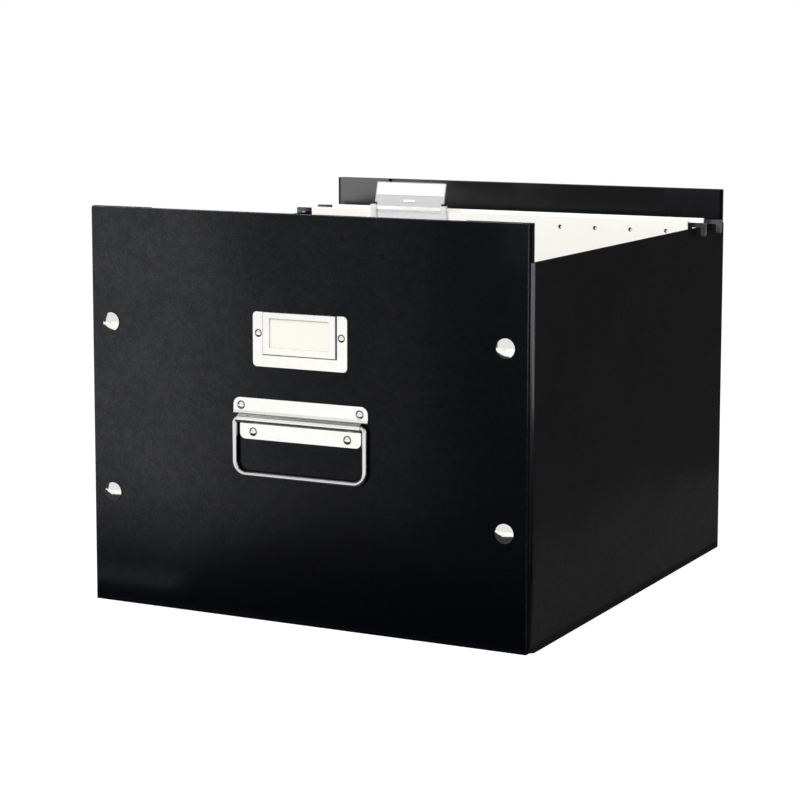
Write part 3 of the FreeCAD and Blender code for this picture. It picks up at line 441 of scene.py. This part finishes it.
@dataclass(frozen=True)
class PlatedFinish:
    """Bright nickel or zinc on steel, with polishing lines and fine scratches.

    Args:
        name: The material's name.
        colour: Its colour.
        shade: The colour of painted shade in a crease or round a rim.
        dull: Roughness where it is least polished.
        bright: Roughness where it is best polished.
        depth: Depth of the polishing lines in metres.
        crease: Half width, foot and half thickness of the line of painted shade where a raised frame meets its plate.
        shade_ring: Depth at which painted shade round a domed head's rim is full, and depth from which the head keeps
            its plain metal colour.
    """

    name: str
    colour: Colour = (0.785, 0.78, 0.75)
    shade: tuple[float, float, float, float] = (0.12, 0.12, 0.115, 1.0)
    dull: float = 0.24
    bright: float = 0.12
    depth: float = 0.000002
    crease: Point | None = None
    shade_ring: tuple[float, float] | None = None

    def paint_crease_shade(self, graph: Graph, point: Wire) -> bpy.types.NodeSocket:
        """Paints a line of shade round a raised frame that is open at the top.

        Args:
            graph: The metal's graph.
            point: The point on the object.

        Returns:
            1 on the line of painted shade and 0 elsewhere.
        """
        half_width, foot, thick = self.crease
        parts = graph.add("ShaderNodeSeparateXYZ", {"Vector": point}).outputs
        out = graph.math("SUBTRACT", graph.math("ABSOLUTE", parts["X"]), half_width)
        up = graph.math("SUBTRACT", parts["Z"], foot)
        outside = graph.math("MAXIMUM", out, graph.math("MULTIPLY", up, -1.0))
        return graph.span(graph.math("ABSOLUTE", outside), thick, 2 * thick, 1.0, 0.0)

    def material(self, effects: Effects) -> bpy.types.Material:
        """Builds the metal's material.

        Args:
            effects: The shared node groups.

        Returns:
            The finished material.
        """
        material, graph, shader = start_material(self.name)
        point = graph.place()
        rub = effects.use(graph, effects.rub, point)
        marks = effects.use(graph, effects.smudge, point, Marks=70.0)
        metal = (*self.colour, 1.0)
        tint = tuple(0.93 * channel for channel in self.colour) + (1.0,)
        tone = graph.mix(graph.math("MULTIPLY", marks["Marks"], 0.5), metal, tint)
        # Painted shade: a dark line along the crease where the raised frame meets the plate.
        if self.crease:
            tone = graph.mix(self.paint_crease_shade(graph, point), tone, self.shade)
        # Painted shade: a domed head is darkened round its rim, where it meets the plate.
        if self.shade_ring:
            depth = graph.add("ShaderNodeSeparateXYZ", {"Vector": point}).outputs["Y"]
            tone = graph.mix(graph.span(depth, self.shade_ring[1], self.shade_ring[0], 0.0, 1.0), tone, self.shade)
        graph.feed(shader.inputs["Base Color"], tone)
        base = graph.span(rub["Lines"], 0.35, 0.65, self.bright, self.dull)
        graph.feed(shader.inputs["Roughness"], graph.math("ADD", base, graph.math("MULTIPLY", rub["Scratches"], 0.08)))
        shader.inputs["Metallic"].default_value = 1.0
        height = graph.math("SUBTRACT", rub["Lines"], rub["Scratches"])
        bump = graph.add("ShaderNodeBump", {"Height": height, "Distance": self.depth, "Strength": 0.6})
        graph.feed(shader.inputs["Normal"], bump.outputs[0])
        return material


@dataclass(frozen=True)
class PaintedHoleShadows:
    """The row of holes along the front leaf, and the shadow that their rims throw on the hem behind, painted into the
    card's colour.

    Args:
        foot: Depth and level of the bottom fold that the leaf stands on.
        lean: How far the leaf leans towards the front, in degrees.
        level: The holes' centres up the leaf from its fold.
        pitch: From one hole to the next, starting in the middle.
        light: Radius of the spot of light on the hem, which the painted shadow leaves out.
        shift: How far that spot lies to the right of its hole and below it.
        reach: How far from the spot's centre the painted shadow goes.
        hem: Depths behind the leaf's middle plane between which the painted shadow falls.
    """

    foot: tuple[float, float] = (137.0 * MM, 14.0 * MM)
    lean: float = 4.23
    level: float = 234.45 * MM
    pitch: float = 28.4 * MM
    light: float = 1.3 * MM
    shift: tuple[float, float] = (0.3 * MM, 0.45 * MM)
    reach: float = 3.2 * MM
    hem: tuple[float, float] = (0.0, 1.85 * MM)

    def shade(self, graph: Graph, point: Wire) -> bpy.types.NodeSocket:
        """Wires the painted shadow on the hem.

        Args:
            graph: The card's graph.
            point: The point on the leaf.

        Returns:
            1 in the painted shadow and 0 elsewhere.
        """
        lean = math.radians(self.lean)
        depth, height = self.foot
        along = height * math.cos(lean) - depth * math.sin(lean) + self.level - self.shift[1]
        up = graph.math("SUBTRACT", graph.along(point, (0.0, -math.sin(lean), math.cos(lean))), along)
        right = graph.math("SUBTRACT", graph.along(point, (1.0, 0.0, 0.0)), self.shift[0])
        aside = graph.math("PINGPONG", right, self.pitch / 2)
        square = graph.math("ADD", graph.math("MULTIPLY", up, up), graph.math("MULTIPLY", aside, aside))
        away = graph.math("SQRT", square)
        middle = depth * math.cos(lean) + height * math.sin(lean)
        behind = graph.math("SUBTRACT", graph.along(point, (0.0, math.cos(lean), math.sin(lean))), middle)
        soft = 0.15 * MM
        shade_ring = graph.span(away, self.light - soft, self.light + soft)
        near = graph.span(away, self.reach - soft, self.reach + soft, 1.0, 0.0)
        front = graph.span(behind, self.hem[0] - soft, self.hem[0] + soft)
        back = graph.span(behind, self.hem[1] - soft, self.hem[1] + soft, 1.0, 0.0)
        return graph.math("MULTIPLY", graph.math("MULTIPLY", shade_ring, near), graph.math("MULTIPLY", front, back))


@dataclass(frozen=True)
class CardFinish:
    """Smooth card or paper.

    Args:
        name: The material's name.
        colour: Its colour.
        shade: The colour of its darker drifts.
        fibres: Fibres to the metre.
        holes: The row of holes through it, whose shadow on the hem behind is painted into the colour.
    """

    name: str
    colour: Colour = (0.95, 0.945, 0.885)
    shade: Colour = (0.92, 0.91, 0.85)
    fibres: float = 700.0
    holes: PaintedHoleShadows | None = None

    def material(self, effects: Effects) -> bpy.types.Material:
        """Builds the card's material.

        Args:
            effects: The shared node groups.

        Returns:
            The finished material.
        """
        material, graph, shader = start_material(self.name)
        point = graph.place()
        fibre = effects.use(graph, effects.fibre, point, Fibres=self.fibres)
        drift = graph.span(fibre["Drift"], 0.35, 0.7)
        tone = graph.mix(drift, (*self.colour, 1.0), (*self.shade, 1.0))
        if self.holes:
            # Painted shadow: the hem behind each hole is darkened all round a lit spot.
            tone = graph.mix(self.holes.shade(graph, point), tone, (0.02, 0.02, 0.018, 1.0))
        graph.feed(shader.inputs["Base Color"], tone)
        graph.feed(shader.inputs["Roughness"], graph.span(fibre["Height"], 0.35, 0.65, 0.5, 0.68))
        shader.inputs["Specular IOR Level"].default_value = 0.3
        bump = graph.add("ShaderNodeBump", {"Height": fibre["Height"], "Distance": 0.00002, "Strength": 0.5})
        graph.feed(shader.inputs["Normal"], bump.outputs[0])
        return material


@dataclass(frozen=True)
class LacquerFinish:
    """Black lacquer on the rails' steel, rubbed grey where the hooks slide.

    Args:
        name: The material's name.
        colour: The lacquer's colour.
        rubbed: Its colour where it is worn.
        bare_from: Distance from the middle past which the lacquer is rubbed.
    """

    name: str
    colour: Colour = (0.012, 0.011, 0.012)
    rubbed: Colour = (0.10, 0.10, 0.102)
    bare_from: float = 0.163

    def material(self, effects: Effects) -> bpy.types.Material:
        """Builds the lacquer's material.

        Args:
            effects: The shared node groups.

        Returns:
            The finished material.
        """
        material, graph, shader = start_material(self.name)
        point = graph.place()
        rub = effects.use(graph, effects.rub, point)
        marks = effects.use(graph, effects.smudge, point, Marks=120.0)
        parts = graph.add("ShaderNodeSeparateXYZ", {"Vector": point}).outputs
        out = graph.math("ABSOLUTE", parts["X"])
        hooked = graph.span(out, self.bare_from, self.bare_from + 0.004)
        worn = graph.math("MULTIPLY", hooked, graph.span(marks["Marks"], 0.0, 1.0, 0.35, 0.9))
        graph.feed(shader.inputs["Base Color"], graph.mix(worn, (*self.colour, 1.0), (*self.rubbed, 1.0)))
        graph.feed(shader.inputs["Roughness"], graph.span(rub["Lines"], 0.3, 0.7, 0.28, 0.4))
        bump = graph.add("ShaderNodeBump", {"Height": rub["Lines"], "Distance": 0.000004, "Strength": 0.5})
        graph.feed(shader.inputs["Normal"], bump.outputs[0])
        return material


@dataclass(frozen=True)
class ClearFinish:
    """Clear moulded plastic with a faint haze.

    Args:
        name: The material's name.
        colour: Its colour.
        clear: How much light is bent through it.
        cover: How much of what lies straight behind it is hidden.
        ridge: Middle across, half width, and lowest and highest level of a ridge that is made fully opaque as a painted
            highlight.
        haze: Roughness of its clearest and of its haziest places.
    """

    name: str
    colour: Colour = (0.95, 0.948, 0.955)
    clear: float = 0.6
    cover: float = 1.0
    ridge: tuple[float, float, float, float] | None = None
    haze: tuple[float, float] = (0.08, 0.2)

    def material(self, effects: Effects) -> bpy.types.Material:
        """Builds the plastic's material.

        Args:
            effects: The shared node groups.

        Returns:
            The finished material.
        """
        material, graph, shader = start_material(self.name)
        point = graph.place()
        marks = effects.use(graph, effects.smudge, point, Marks=90.0)
        shader.inputs["Base Color"].default_value = (*self.colour, 1.0)
        graph.feed(shader.inputs["Roughness"], graph.span(marks["Marks"], 0.0, 1.0, *self.haze))
        shader.inputs["Transmission Weight"].default_value = self.clear
        shader.inputs["Alpha"].default_value = self.cover
        if self.ridge:
            # Painted highlight: the ridge is made fully opaque so that it shows white.
            middle, half_width, low, high = self.ridge
            parts = graph.add("ShaderNodeSeparateXYZ", {"Vector": point}).outputs
            aside = graph.math("ABSOLUTE", graph.math("SUBTRACT", parts["X"], middle))
            level = graph.math("ABSOLUTE", graph.math("SUBTRACT", parts["Z"], (low + high) / 2))
            ridge_highlight = graph.math("MULTIPLY", graph.span(aside, half_width, half_width + 0.0003, 1.0, 0.0),
                               graph.span(level, (high - low) / 2, (high - low) / 2 + 0.0002, 1.0, 0.0))
            graph.feed(shader.inputs["Alpha"], graph.math("MAXIMUM", ridge_highlight, self.cover))
        shader.inputs["IOR"].default_value = 1.46
        bump = graph.add("ShaderNodeBump", {"Height": marks["Marks"], "Distance": 0.000003, "Strength": 0.4})
        graph.feed(shader.inputs["Normal"], bump.outputs[0])
        return material


def paint(node: str, material: bpy.types.Material) -> None:
    """Gives a CAD node one material all over and reports it.

    Args:
        node: The node's name.
        material: What it is finished in.
    """
    slots = frame["nodes"][node].data.materials
    slots.clear()
    slots.append(material)
    LOG.info("%s finished in %s", node, material.name)


def ease_edges(node: str, name: str, width: float, steps: int = 3) -> bpy.types.Object:
    """Copies a CAD node's shape and rounds its sharp edges.

    Args:
        node: The node that the copy stands for.
        name: The copy's name.
        width: How far in from the edge the rounding starts.
        steps: Faces across the rounding.

    Returns:
        The rounded piece, riding on the node's body.
    """
    source = frame["nodes"][node]
    piece = bpy.data.objects.new(name, source.data.copy())
    bpy.context.scene.collection.objects.link(piece)
    bpy.ops.object.select_all(action="DESELECT")
    piece.select_set(True)
    bpy.context.view_layer.objects.active = piece
    bpy.ops.object.mode_set(mode="EDIT")
    bpy.ops.mesh.select_all(action="SELECT")
    bpy.ops.mesh.remove_doubles(threshold=0.001 * MM)
    bpy.ops.mesh.dissolve_limited(angle_limit=math.radians(0.5))
    bpy.ops.object.mode_set(mode="OBJECT")
    bpy.ops.object.shade_smooth_by_angle(angle=math.radians(SMOOTH_UNDER))
    bevel = piece.modifiers.new("eased", "BEVEL")
    bevel.width = width
    bevel.segments = steps
    bevel.limit_method = "ANGLE"
    bevel.angle_limit = math.radians(SMOOTH_UNDER)
    bevel.use_clamp_overlap = False
    bpy.ops.object.modifier_apply(modifier=bevel.name)
    flat = piece.modifiers.new("flat_faces", "WEIGHTED_NORMAL")
    flat.weight = 100
    flat.keep_sharp = True
    bpy.ops.object.modifier_apply(modifier=flat.name)
    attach(piece, BODY_OF[node])
    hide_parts(node)
    return piece


def finish(piece: bpy.types.Object, material: bpy.types.Material) -> bpy.types.Object:
    """Gives a new piece one material all over, reports it and returns it."""
    piece.data.materials.clear()
    piece.data.materials.append(material)
    LOG.info("%s finished in %s", piece.name, material.name)
    return piece


@dataclass
class FilmedBoards:
    """The base, the two bent side walls and the front and back boards.

    Args:
        board_half_width: From the middle to a board's side edge.
        wall_half_width: From the middle to a wall's outer face.
        board_top: Top of the front and back boards.
        bend: Where the walls' upright bends begin, across and in depth.
        rear_inside: Depths and half width that hold the back board's inner face.
        flap_inside: The same for the walls' back flaps, which lie on that face.
    """

    board_half_width: float = 164.5 * MM
    wall_half_width: float = 167.0 * MM
    board_top: float = 276.0 * MM
    bend: tuple[float, float] = (163.6 * MM, 175.9 * MM)
    rear_inside: Point = (175.0 * MM, 180.4 * MM, 170.0 * MM)
    flap_inside: Point = (172.0 * MM, 178.6 * MM, 163.4 * MM)

    def dress(self, effects: Effects) -> dict[Subject, list[bpy.types.Object]]:
        """Covers the boards in film and lines the floor.

        Args:
            effects: The shared node groups.

        Returns:
            The pieces covered in film, as the lamps tell them apart.
        """
        panels = FilmFinish("panel_film", half_width=self.board_half_width, top=self.board_top)
        walls = FilmFinish("wall_film", half_width=self.wall_half_width, top=self.board_top, bend=self.bend,
                           inside=self.flap_inside, inside_shine=0.155)
        film = panels.material(effects)
        bent = walls.material(effects)
        rear = FilmFinish("rear_film", half_width=self.board_half_width, top=self.board_top, inside=self.rear_inside)
        finishes = {"left_wall": bent, "right_wall": bent, "front_board": film, "base_cover_sheet": film}
        for node, material in finishes.items():
            paint(node, material)
        paint("back_board", rear.material(effects))
        paint("base_board", LiningFinish("lining_paper").material(effects))
        return {Subject.FILM: [frame["nodes"][node] for node in finishes], Subject.REAR: [frame["nodes"]["back_board"]]}


@dataclass
class Fittings:
    """The nickel-plated fittings and the zinc-plated parts behind the boards.

    Args:
        pressed: The pressed sheets and how far their cut edges are rounded.
        studs: The studs' broad heads.
        rivets: The rivets' small heads, each with the depth of the painted shade round its rim and of its unshaded
            crown.
        frame_shade_line: Half width, foot and half thickness of the line of painted shade round the label holder's
            raised frame.
    """

    pressed: dict[str, float] = field(default_factory=lambda: {"label_holder": 0.14 * MM, "handle_plate": 0.1 * MM})
    studs: tuple[str, str] = ("front_stud_caps", "back_stud_caps")
    rivets: dict[str, tuple[float, float]] = field(
        default_factory=lambda: {
            "label_rivets": (-183.3 * MM, -183.9 * MM),
            "handle_rivets": (-183.5 * MM, -184.2 * MM),
        }
    )
    frame_shade_line: Point = (27.8 * MM, 181.5 * MM, 0.3 * MM)

    def dress(self, effects: Effects) -> None:
        """Plates the fittings.

        Args:
            effects: The shared node groups.
        """
        plates = {
            # The label holder's nickel carries a line of painted shade round its raised frame.
            "label_holder": PlatedFinish("nickel_holder", crease=self.frame_shade_line).material(effects),
            "handle_plate": PlatedFinish("nickel_plate").material(effects),
        }
        head = PlatedFinish("nickel_head", bright=0.06, dull=0.14).material(effects)
        zinc = PlatedFinish("zinc_plate", colour=(0.62, 0.62, 0.63), bright=0.22, dull=0.4).material(effects)
        for node, width in self.pressed.items():
            finish(ease_edges(node, f"{node}_pressed", width), plates[node])
        paint("handle_bail", PlatedFinish("nickel_wire", colour=(0.6, 0.6, 0.595), bright=0.1, dull=0.18).material(effects))
        for node in self.studs:
            paint(node, head)
        # Each rivet head carries a ring of painted shade round its rim.
        for node, shade_ring in self.rivets.items():
            paint(node, PlatedFinish(f"nickel_{node}", bright=0.06, dull=0.14, shade_ring=shade_ring).material(effects))
        for node in frame["nodes"]:
            if node.endswith(("_sockets", "_posts", "_washers")):
                paint(node, zinc)


@dataclass
class HangingFolder:
    """The cream folder, its black rails and the clear index tab.

    Args:
        rail_edge: Rounding of the rails' stamped edges.
        clip_edge: Rounding of the clip's moulded edges.
        ridge: Middle across, half width, and lowest and highest level of the ridge on the tab's sleeve, which is made
            fully opaque as a painted highlight.
    """

    rail_edge: float = 0.25 * MM
    clip_edge: float = 0.18 * MM
    ridge: tuple[float, float, float, float] = (-71.0 * MM, 4.7 * MM, 262.4 * MM, 263.8 * MM)

    def dress(self, effects: Effects) -> list[bpy.types.Object]:
        """Finishes the folder's card, rails, tab and papers.

        Args:
            effects: The shared node groups.

        Returns:
            The folder's pieces.
        """
        paint("folder_front_leaf", CardFinish("front_leaf_card", holes=PaintedHoleShadows()).material(effects))
        paint("folder_back_leaf", CardFinish("back_leaf_card").material(effects))
        paint("label_card", CardFinish("label_card_stock", colour=(0.94, 0.93, 0.85), shade=(0.92, 0.91, 0.82)).material(effects))
        paint("tab_insert", CardFinish("insert_paper", colour=(0.95, 0.945, 0.87), shade=(0.94, 0.93, 0.85)).material(effects))
        pieces = [frame["nodes"][node] for node in ("folder_front_leaf", "folder_back_leaf", "tab_insert", "tab_sleeve")]
        rail = LacquerFinish("rail_lacquer").material(effects)
        for node in ("folder_front_rail", "folder_back_rail"):
            finish(ease_edges(node, f"{node}_strip", self.rail_edge), rail)
        pieces.append(finish(ease_edges("tab_clip", "tab_clip_moulding", self.clip_edge),
                             ClearFinish("clip_plastic", colour=(0.93, 0.925, 0.95), clear=0.0, cover=0.62).material(effects)))
        paint("tab_sleeve", ClearFinish("sleeve_plastic", clear=0.0, cover=0.35, ridge=self.ridge).material(effects))
        return pieces


@dataclass(frozen=True)
class Softbox:
    """A rectangular studio lamp.

    Args:
        name: The lamp's name.
        place: Where its centre stands.
        aim: The point it faces.
        size: Its width and height.
        glow: Brightness of its surface, where 1 is white.
        role: What it is for.
        subject: What it shines on.
    """

    name: str
    place: Point
    aim: Point
    size: tuple[float, float]
    glow: float
    role: Role
    subject: Subject = Subject.ALL

    def build(self, lit: dict[Subject, bpy.types.Collection]) -> bpy.types.Object:
        """Makes the lamp.

        Args:
            lit: The pieces of each subject.

        Returns:
            The lamp.
        """
        data = bpy.data.lights.new(self.name, "AREA")
        data.shape = "RECTANGLE"
        data.size, data.size_y = self.size
        data.energy = self.glow * math.pi * self.size[0] * self.size[1]
        lamp = bpy.data.objects.new(self.name, data)
        bpy.context.scene.collection.objects.link(lamp)
        lamp.location = self.place
        lamp.rotation_euler = (Vector(self.aim) - Vector(self.place)).to_track_quat("-Z", "Y").to_euler()
        lamp.visible_camera = False
        lamp.visible_diffuse = self.role is not Role.GLOSS
        lamp.visible_glossy = self.role is not Role.FILL
        lamp.light_linking.receiver_collection = lit.get(self.subject)
        return lamp


@dataclass(frozen=True)
class Flag:
    """A grey studio board that the polished metal reflects.

    Args:
        name: The board's name.
        place: Where its centre stands.
        aim: The point it faces.
        size: Its width and height.
        tone: How grey it looks, where 1 is white.
    """

    name: str
    place: Point
    aim: Point
    size: tuple[float, float]
    tone: float

    def build(self) -> bpy.types.Object:
        """Makes the board and returns it."""
        bpy.ops.object.select_all(action="DESELECT")
        bpy.ops.mesh.primitive_plane_add(size=1.0, location=self.place)
        board = bpy.context.object
        board.name = self.name
        board.scale = (*self.size, 1.0)
        board.rotation_euler = (Vector(self.aim) - Vector(self.place)).to_track_quat("-Z", "Y").to_euler()
        bpy.ops.object.transform_apply(location=True, rotation=True, scale=True)
        material = bpy.data.materials.new(f"{self.name}_paper")
        material.use_nodes = True
        material.node_tree.nodes.clear()
        graph = Graph(material.node_tree)
        glow = graph.add("ShaderNodeEmission", {"Color": (1, 1, 1, 1), "Strength": self.tone})
        graph.add("ShaderNodeOutputMaterial", {"Surface": glow.outputs[0]})
        board.data.materials.append(material)
        for kind in ("camera", "diffuse", "transmission", "volume_scatter", "shadow"):
            setattr(board, f"visible_{kind}", False)
        return board


@dataclass
class Studio:
    """The pale floor, the white surround, the lamps and the camera."""

    floor_half: float = 4.0
    floor_fade: tuple[float, float] = (1.2, 3.6)
    floor_colour: Colour = (0.4, 0.4, 0.4)
    floor_glow: float = 0.84
    surround_light: float = 0.5
    softboxes: list[Softbox] = field(
        default_factory=lambda: [
            Softbox("left_card", (-0.68, -0.52, 0.3), (-0.68, 0.0, 0.3), (0.84, 0.6), 23.0, Role.GLOSS, Subject.FILM),
            Softbox("left_spill", (-0.168, -0.52, 0.3), (-0.168, 0.0, 0.3), (0.184, 0.6), 6.0, Role.GLOSS, Subject.FILM),
            Softbox("low_card", (-0.56, -0.46, 0.003), (-0.56, -0.46, 1.0), (0.78, 0.29), 8.0, Role.GLOSS, Subject.FILM),
            Softbox("foot_card", (-0.5, -0.238, 0.003), (-0.5, -0.238, 1.0), (0.74, 0.03), 12.0, Role.GLOSS, Subject.FILM),
            Softbox("corner_card", (0.174, -0.283, 0.368), (0.174, 0.0, 0.368), (0.152, 0.265), 4.0, Role.GLOSS, Subject.FILM),
            Softbox("inner_card", (-0.36, -0.2, 0.24), (-0.36, 0.5, 0.24), (0.32, 0.12), 3.0, Role.GLOSS, Subject.REAR),
            Softbox("right_card", (0.29, -0.245, 0.293), (0.0, -0.245, 0.293), (0.15, 0.315), 27.0, Role.GLOSS, Subject.FILM),
            Softbox("side_card", (0.23, 0.1, 0.003), (0.23, 0.1, 1.0), (0.12, 0.7), 1.2, Role.GLOSS, Subject.FILM),
            Softbox("top_card", (-0.5, -0.1, 1.2), (-0.5, -0.1, 0.0), (0.9, 0.9), 120.0, Role.GLOSS, Subject.FILM),
            Softbox("bend_card", (0.27, -0.48, 0.29), (0.27, 0.0, 0.29), (0.3, 0.3), 30.0, Role.GLOSS, Subject.FILM),
            Softbox("overhead", (-0.35, -1.15, 1.7), (0.0, 0.0, 0.1), (1.5, 1.1), 1.5, Role.KEY),
            Softbox("front_fill", (-0.1, -2.2, 1.5), (0.0, 0.0, 0.15), (2.6, 1.8), 2.8, Role.FILL),
            Softbox("folder_fill", (-0.1, -1.7, 1.5), (0.0, 0.0, 0.2), (1.8, 1.4), 2.6, Role.FILL, Subject.FOLDER),
        ]
    )
    flags: list[Flag] = field(
        default_factory=lambda: [
            Flag("low_flag", (0.0, -0.273, 0.002), (0.0, -0.273, 1.0), (1.6, 0.175), 0.05),
            Flag("left_flag", (-1.3, -0.1, 0.6), (0.0, -0.1, 0.3), (1.5, 1.4), 0.05),
            Flag("high_flag", (0.0, -0.75, 1.15), (0.0, -0.1, 0.2), (1.8, 0.5), 0.4),
            Flag("over_flag", (0.0, -0.1, 1.5), (0.0, -0.1, 0.0), (2.6, 1.2), 0.06),
        ]
    )
    camera_place: Point = (0.7500, -1.5092, 0.3940)
    camera_turn: tuple[float, float] = (82.968, 27.662)
    lens: float = 104.76
    shift: tuple[float, float] = (0.0336, -0.1)

    def seen_directly(self, graph: Graph) -> bpy.types.NodeSocket:
        """Tells apart the rays that show the background.

        Args:
            graph: The floor's or the world's graph.

        Returns:
            1 for camera, glossy and transmission rays, and 0 for the rest.
        """
        path = graph.add("ShaderNodeLightPath").outputs
        seen = path[Ray.CAMERA.value]
        for kind in (Ray.GLOSSY, Ray.TRANSMISSION):
            seen = graph.math("MAXIMUM", seen, path[kind.value])
        return seen

    def build_floor(self) -> None:
        """Lays the floor, which glows a little so that it shows white around the shadow."""
        bpy.ops.object.select_all(action="DESELECT")
        bpy.ops.mesh.primitive_plane_add(size=2 * self.floor_half, location=(0, 0, 0))
        floor = bpy.context.object
        floor.name = "studio_floor"
        material = bpy.data.materials.new("floor_paper")
        material.use_nodes = True
        material.node_tree.nodes.clear()
        graph = Graph(material.node_tree)
        diffuse = graph.add("ShaderNodeBsdfDiffuse", {"Color": (*self.floor_colour, 1.0)})
        strength = graph.math("MULTIPLY", self.seen_directly(graph), self.floor_glow)
        glow = graph.add("ShaderNodeEmission", {"Color": (1, 1, 1, 1), "Strength": strength})
        both = graph.add("ShaderNodeAddShader", {0: diffuse.outputs[0], 1: glow.outputs[0]})
        away = graph.add("ShaderNodeVectorMath", {0: graph.place()}, operation="LENGTH").outputs["Value"]
        gone = graph.add("ShaderNodeBsdfTransparent")
        wires = {0: graph.span(away, *self.floor_fade), 1: both.outputs[0], 2: gone.outputs[0]}
        graph.add("ShaderNodeOutputMaterial", {"Surface": graph.add("ShaderNodeMixShader", wires).outputs[0]})
        floor.data.materials.append(material)

    def build_world(self) -> None:
        """Surrounds the box with even light, shown as white where it is seen."""
        world = bpy.data.worlds.new("studio_surround")
        bpy.context.scene.world = world
        world.use_nodes = True
        world.node_tree.nodes.clear()
        graph = Graph(world.node_tree)
        strength = graph.span(self.seen_directly(graph), 0.0, 1.0, self.surround_light, 1.0)
        back = graph.add("ShaderNodeBackground", {"Color": (1, 1, 1, 1), "Strength": strength})
        graph.add("ShaderNodeOutputWorld", {"Surface": back.outputs[0]})

    def build_camera(self) -> None:
        """Stands the camera where the photograph was taken from."""
        data = bpy.data.cameras.new("photo_camera")
        data.lens = self.lens
        data.shift_x, data.shift_y = self.shift
        camera = bpy.data.objects.new("photo_camera", data)
        bpy.context.scene.collection.objects.link(camera)
        camera.location = self.camera_place
        camera.rotation_euler = (math.radians(self.camera_turn[0]), 0.0, math.radians(self.camera_turn[1]))
        bpy.context.scene.camera = camera

    def build(self, subjects: dict[Subject, list[bpy.types.Object]]) -> None:
        """Sets up the whole studio.

        Args:
            subjects: The pieces that some lamps shine on alone.
        """
        bpy.context.scene.view_settings.view_transform = "Standard"
        self.build_floor()
        self.build_world()
        self.build_camera()
        lit = {}
        for subject, pieces in subjects.items():
            lit[subject] = bpy.data.collections.new(f"{subject.name.lower()}_pieces")
            for piece in pieces:
                lit[subject].objects.link(piece)
        for softbox in self.softboxes:
            softbox.build(lit)
        for flag in self.flags:
            flag.build()


def main() -> None:
    """Builds the studio and dresses every piece."""
    logging.basicConfig(level=logging.INFO, format="%(name)s: %(message)s")
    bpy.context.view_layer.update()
    effects = Effects()
    subjects = FilmedBoards().dress(effects) | {Subject.FOLDER: HangingFolder().dress(effects)}
    Fittings().dress(effects)
    Studio().build(subjects)


if __name__ == "__main__":
    main()
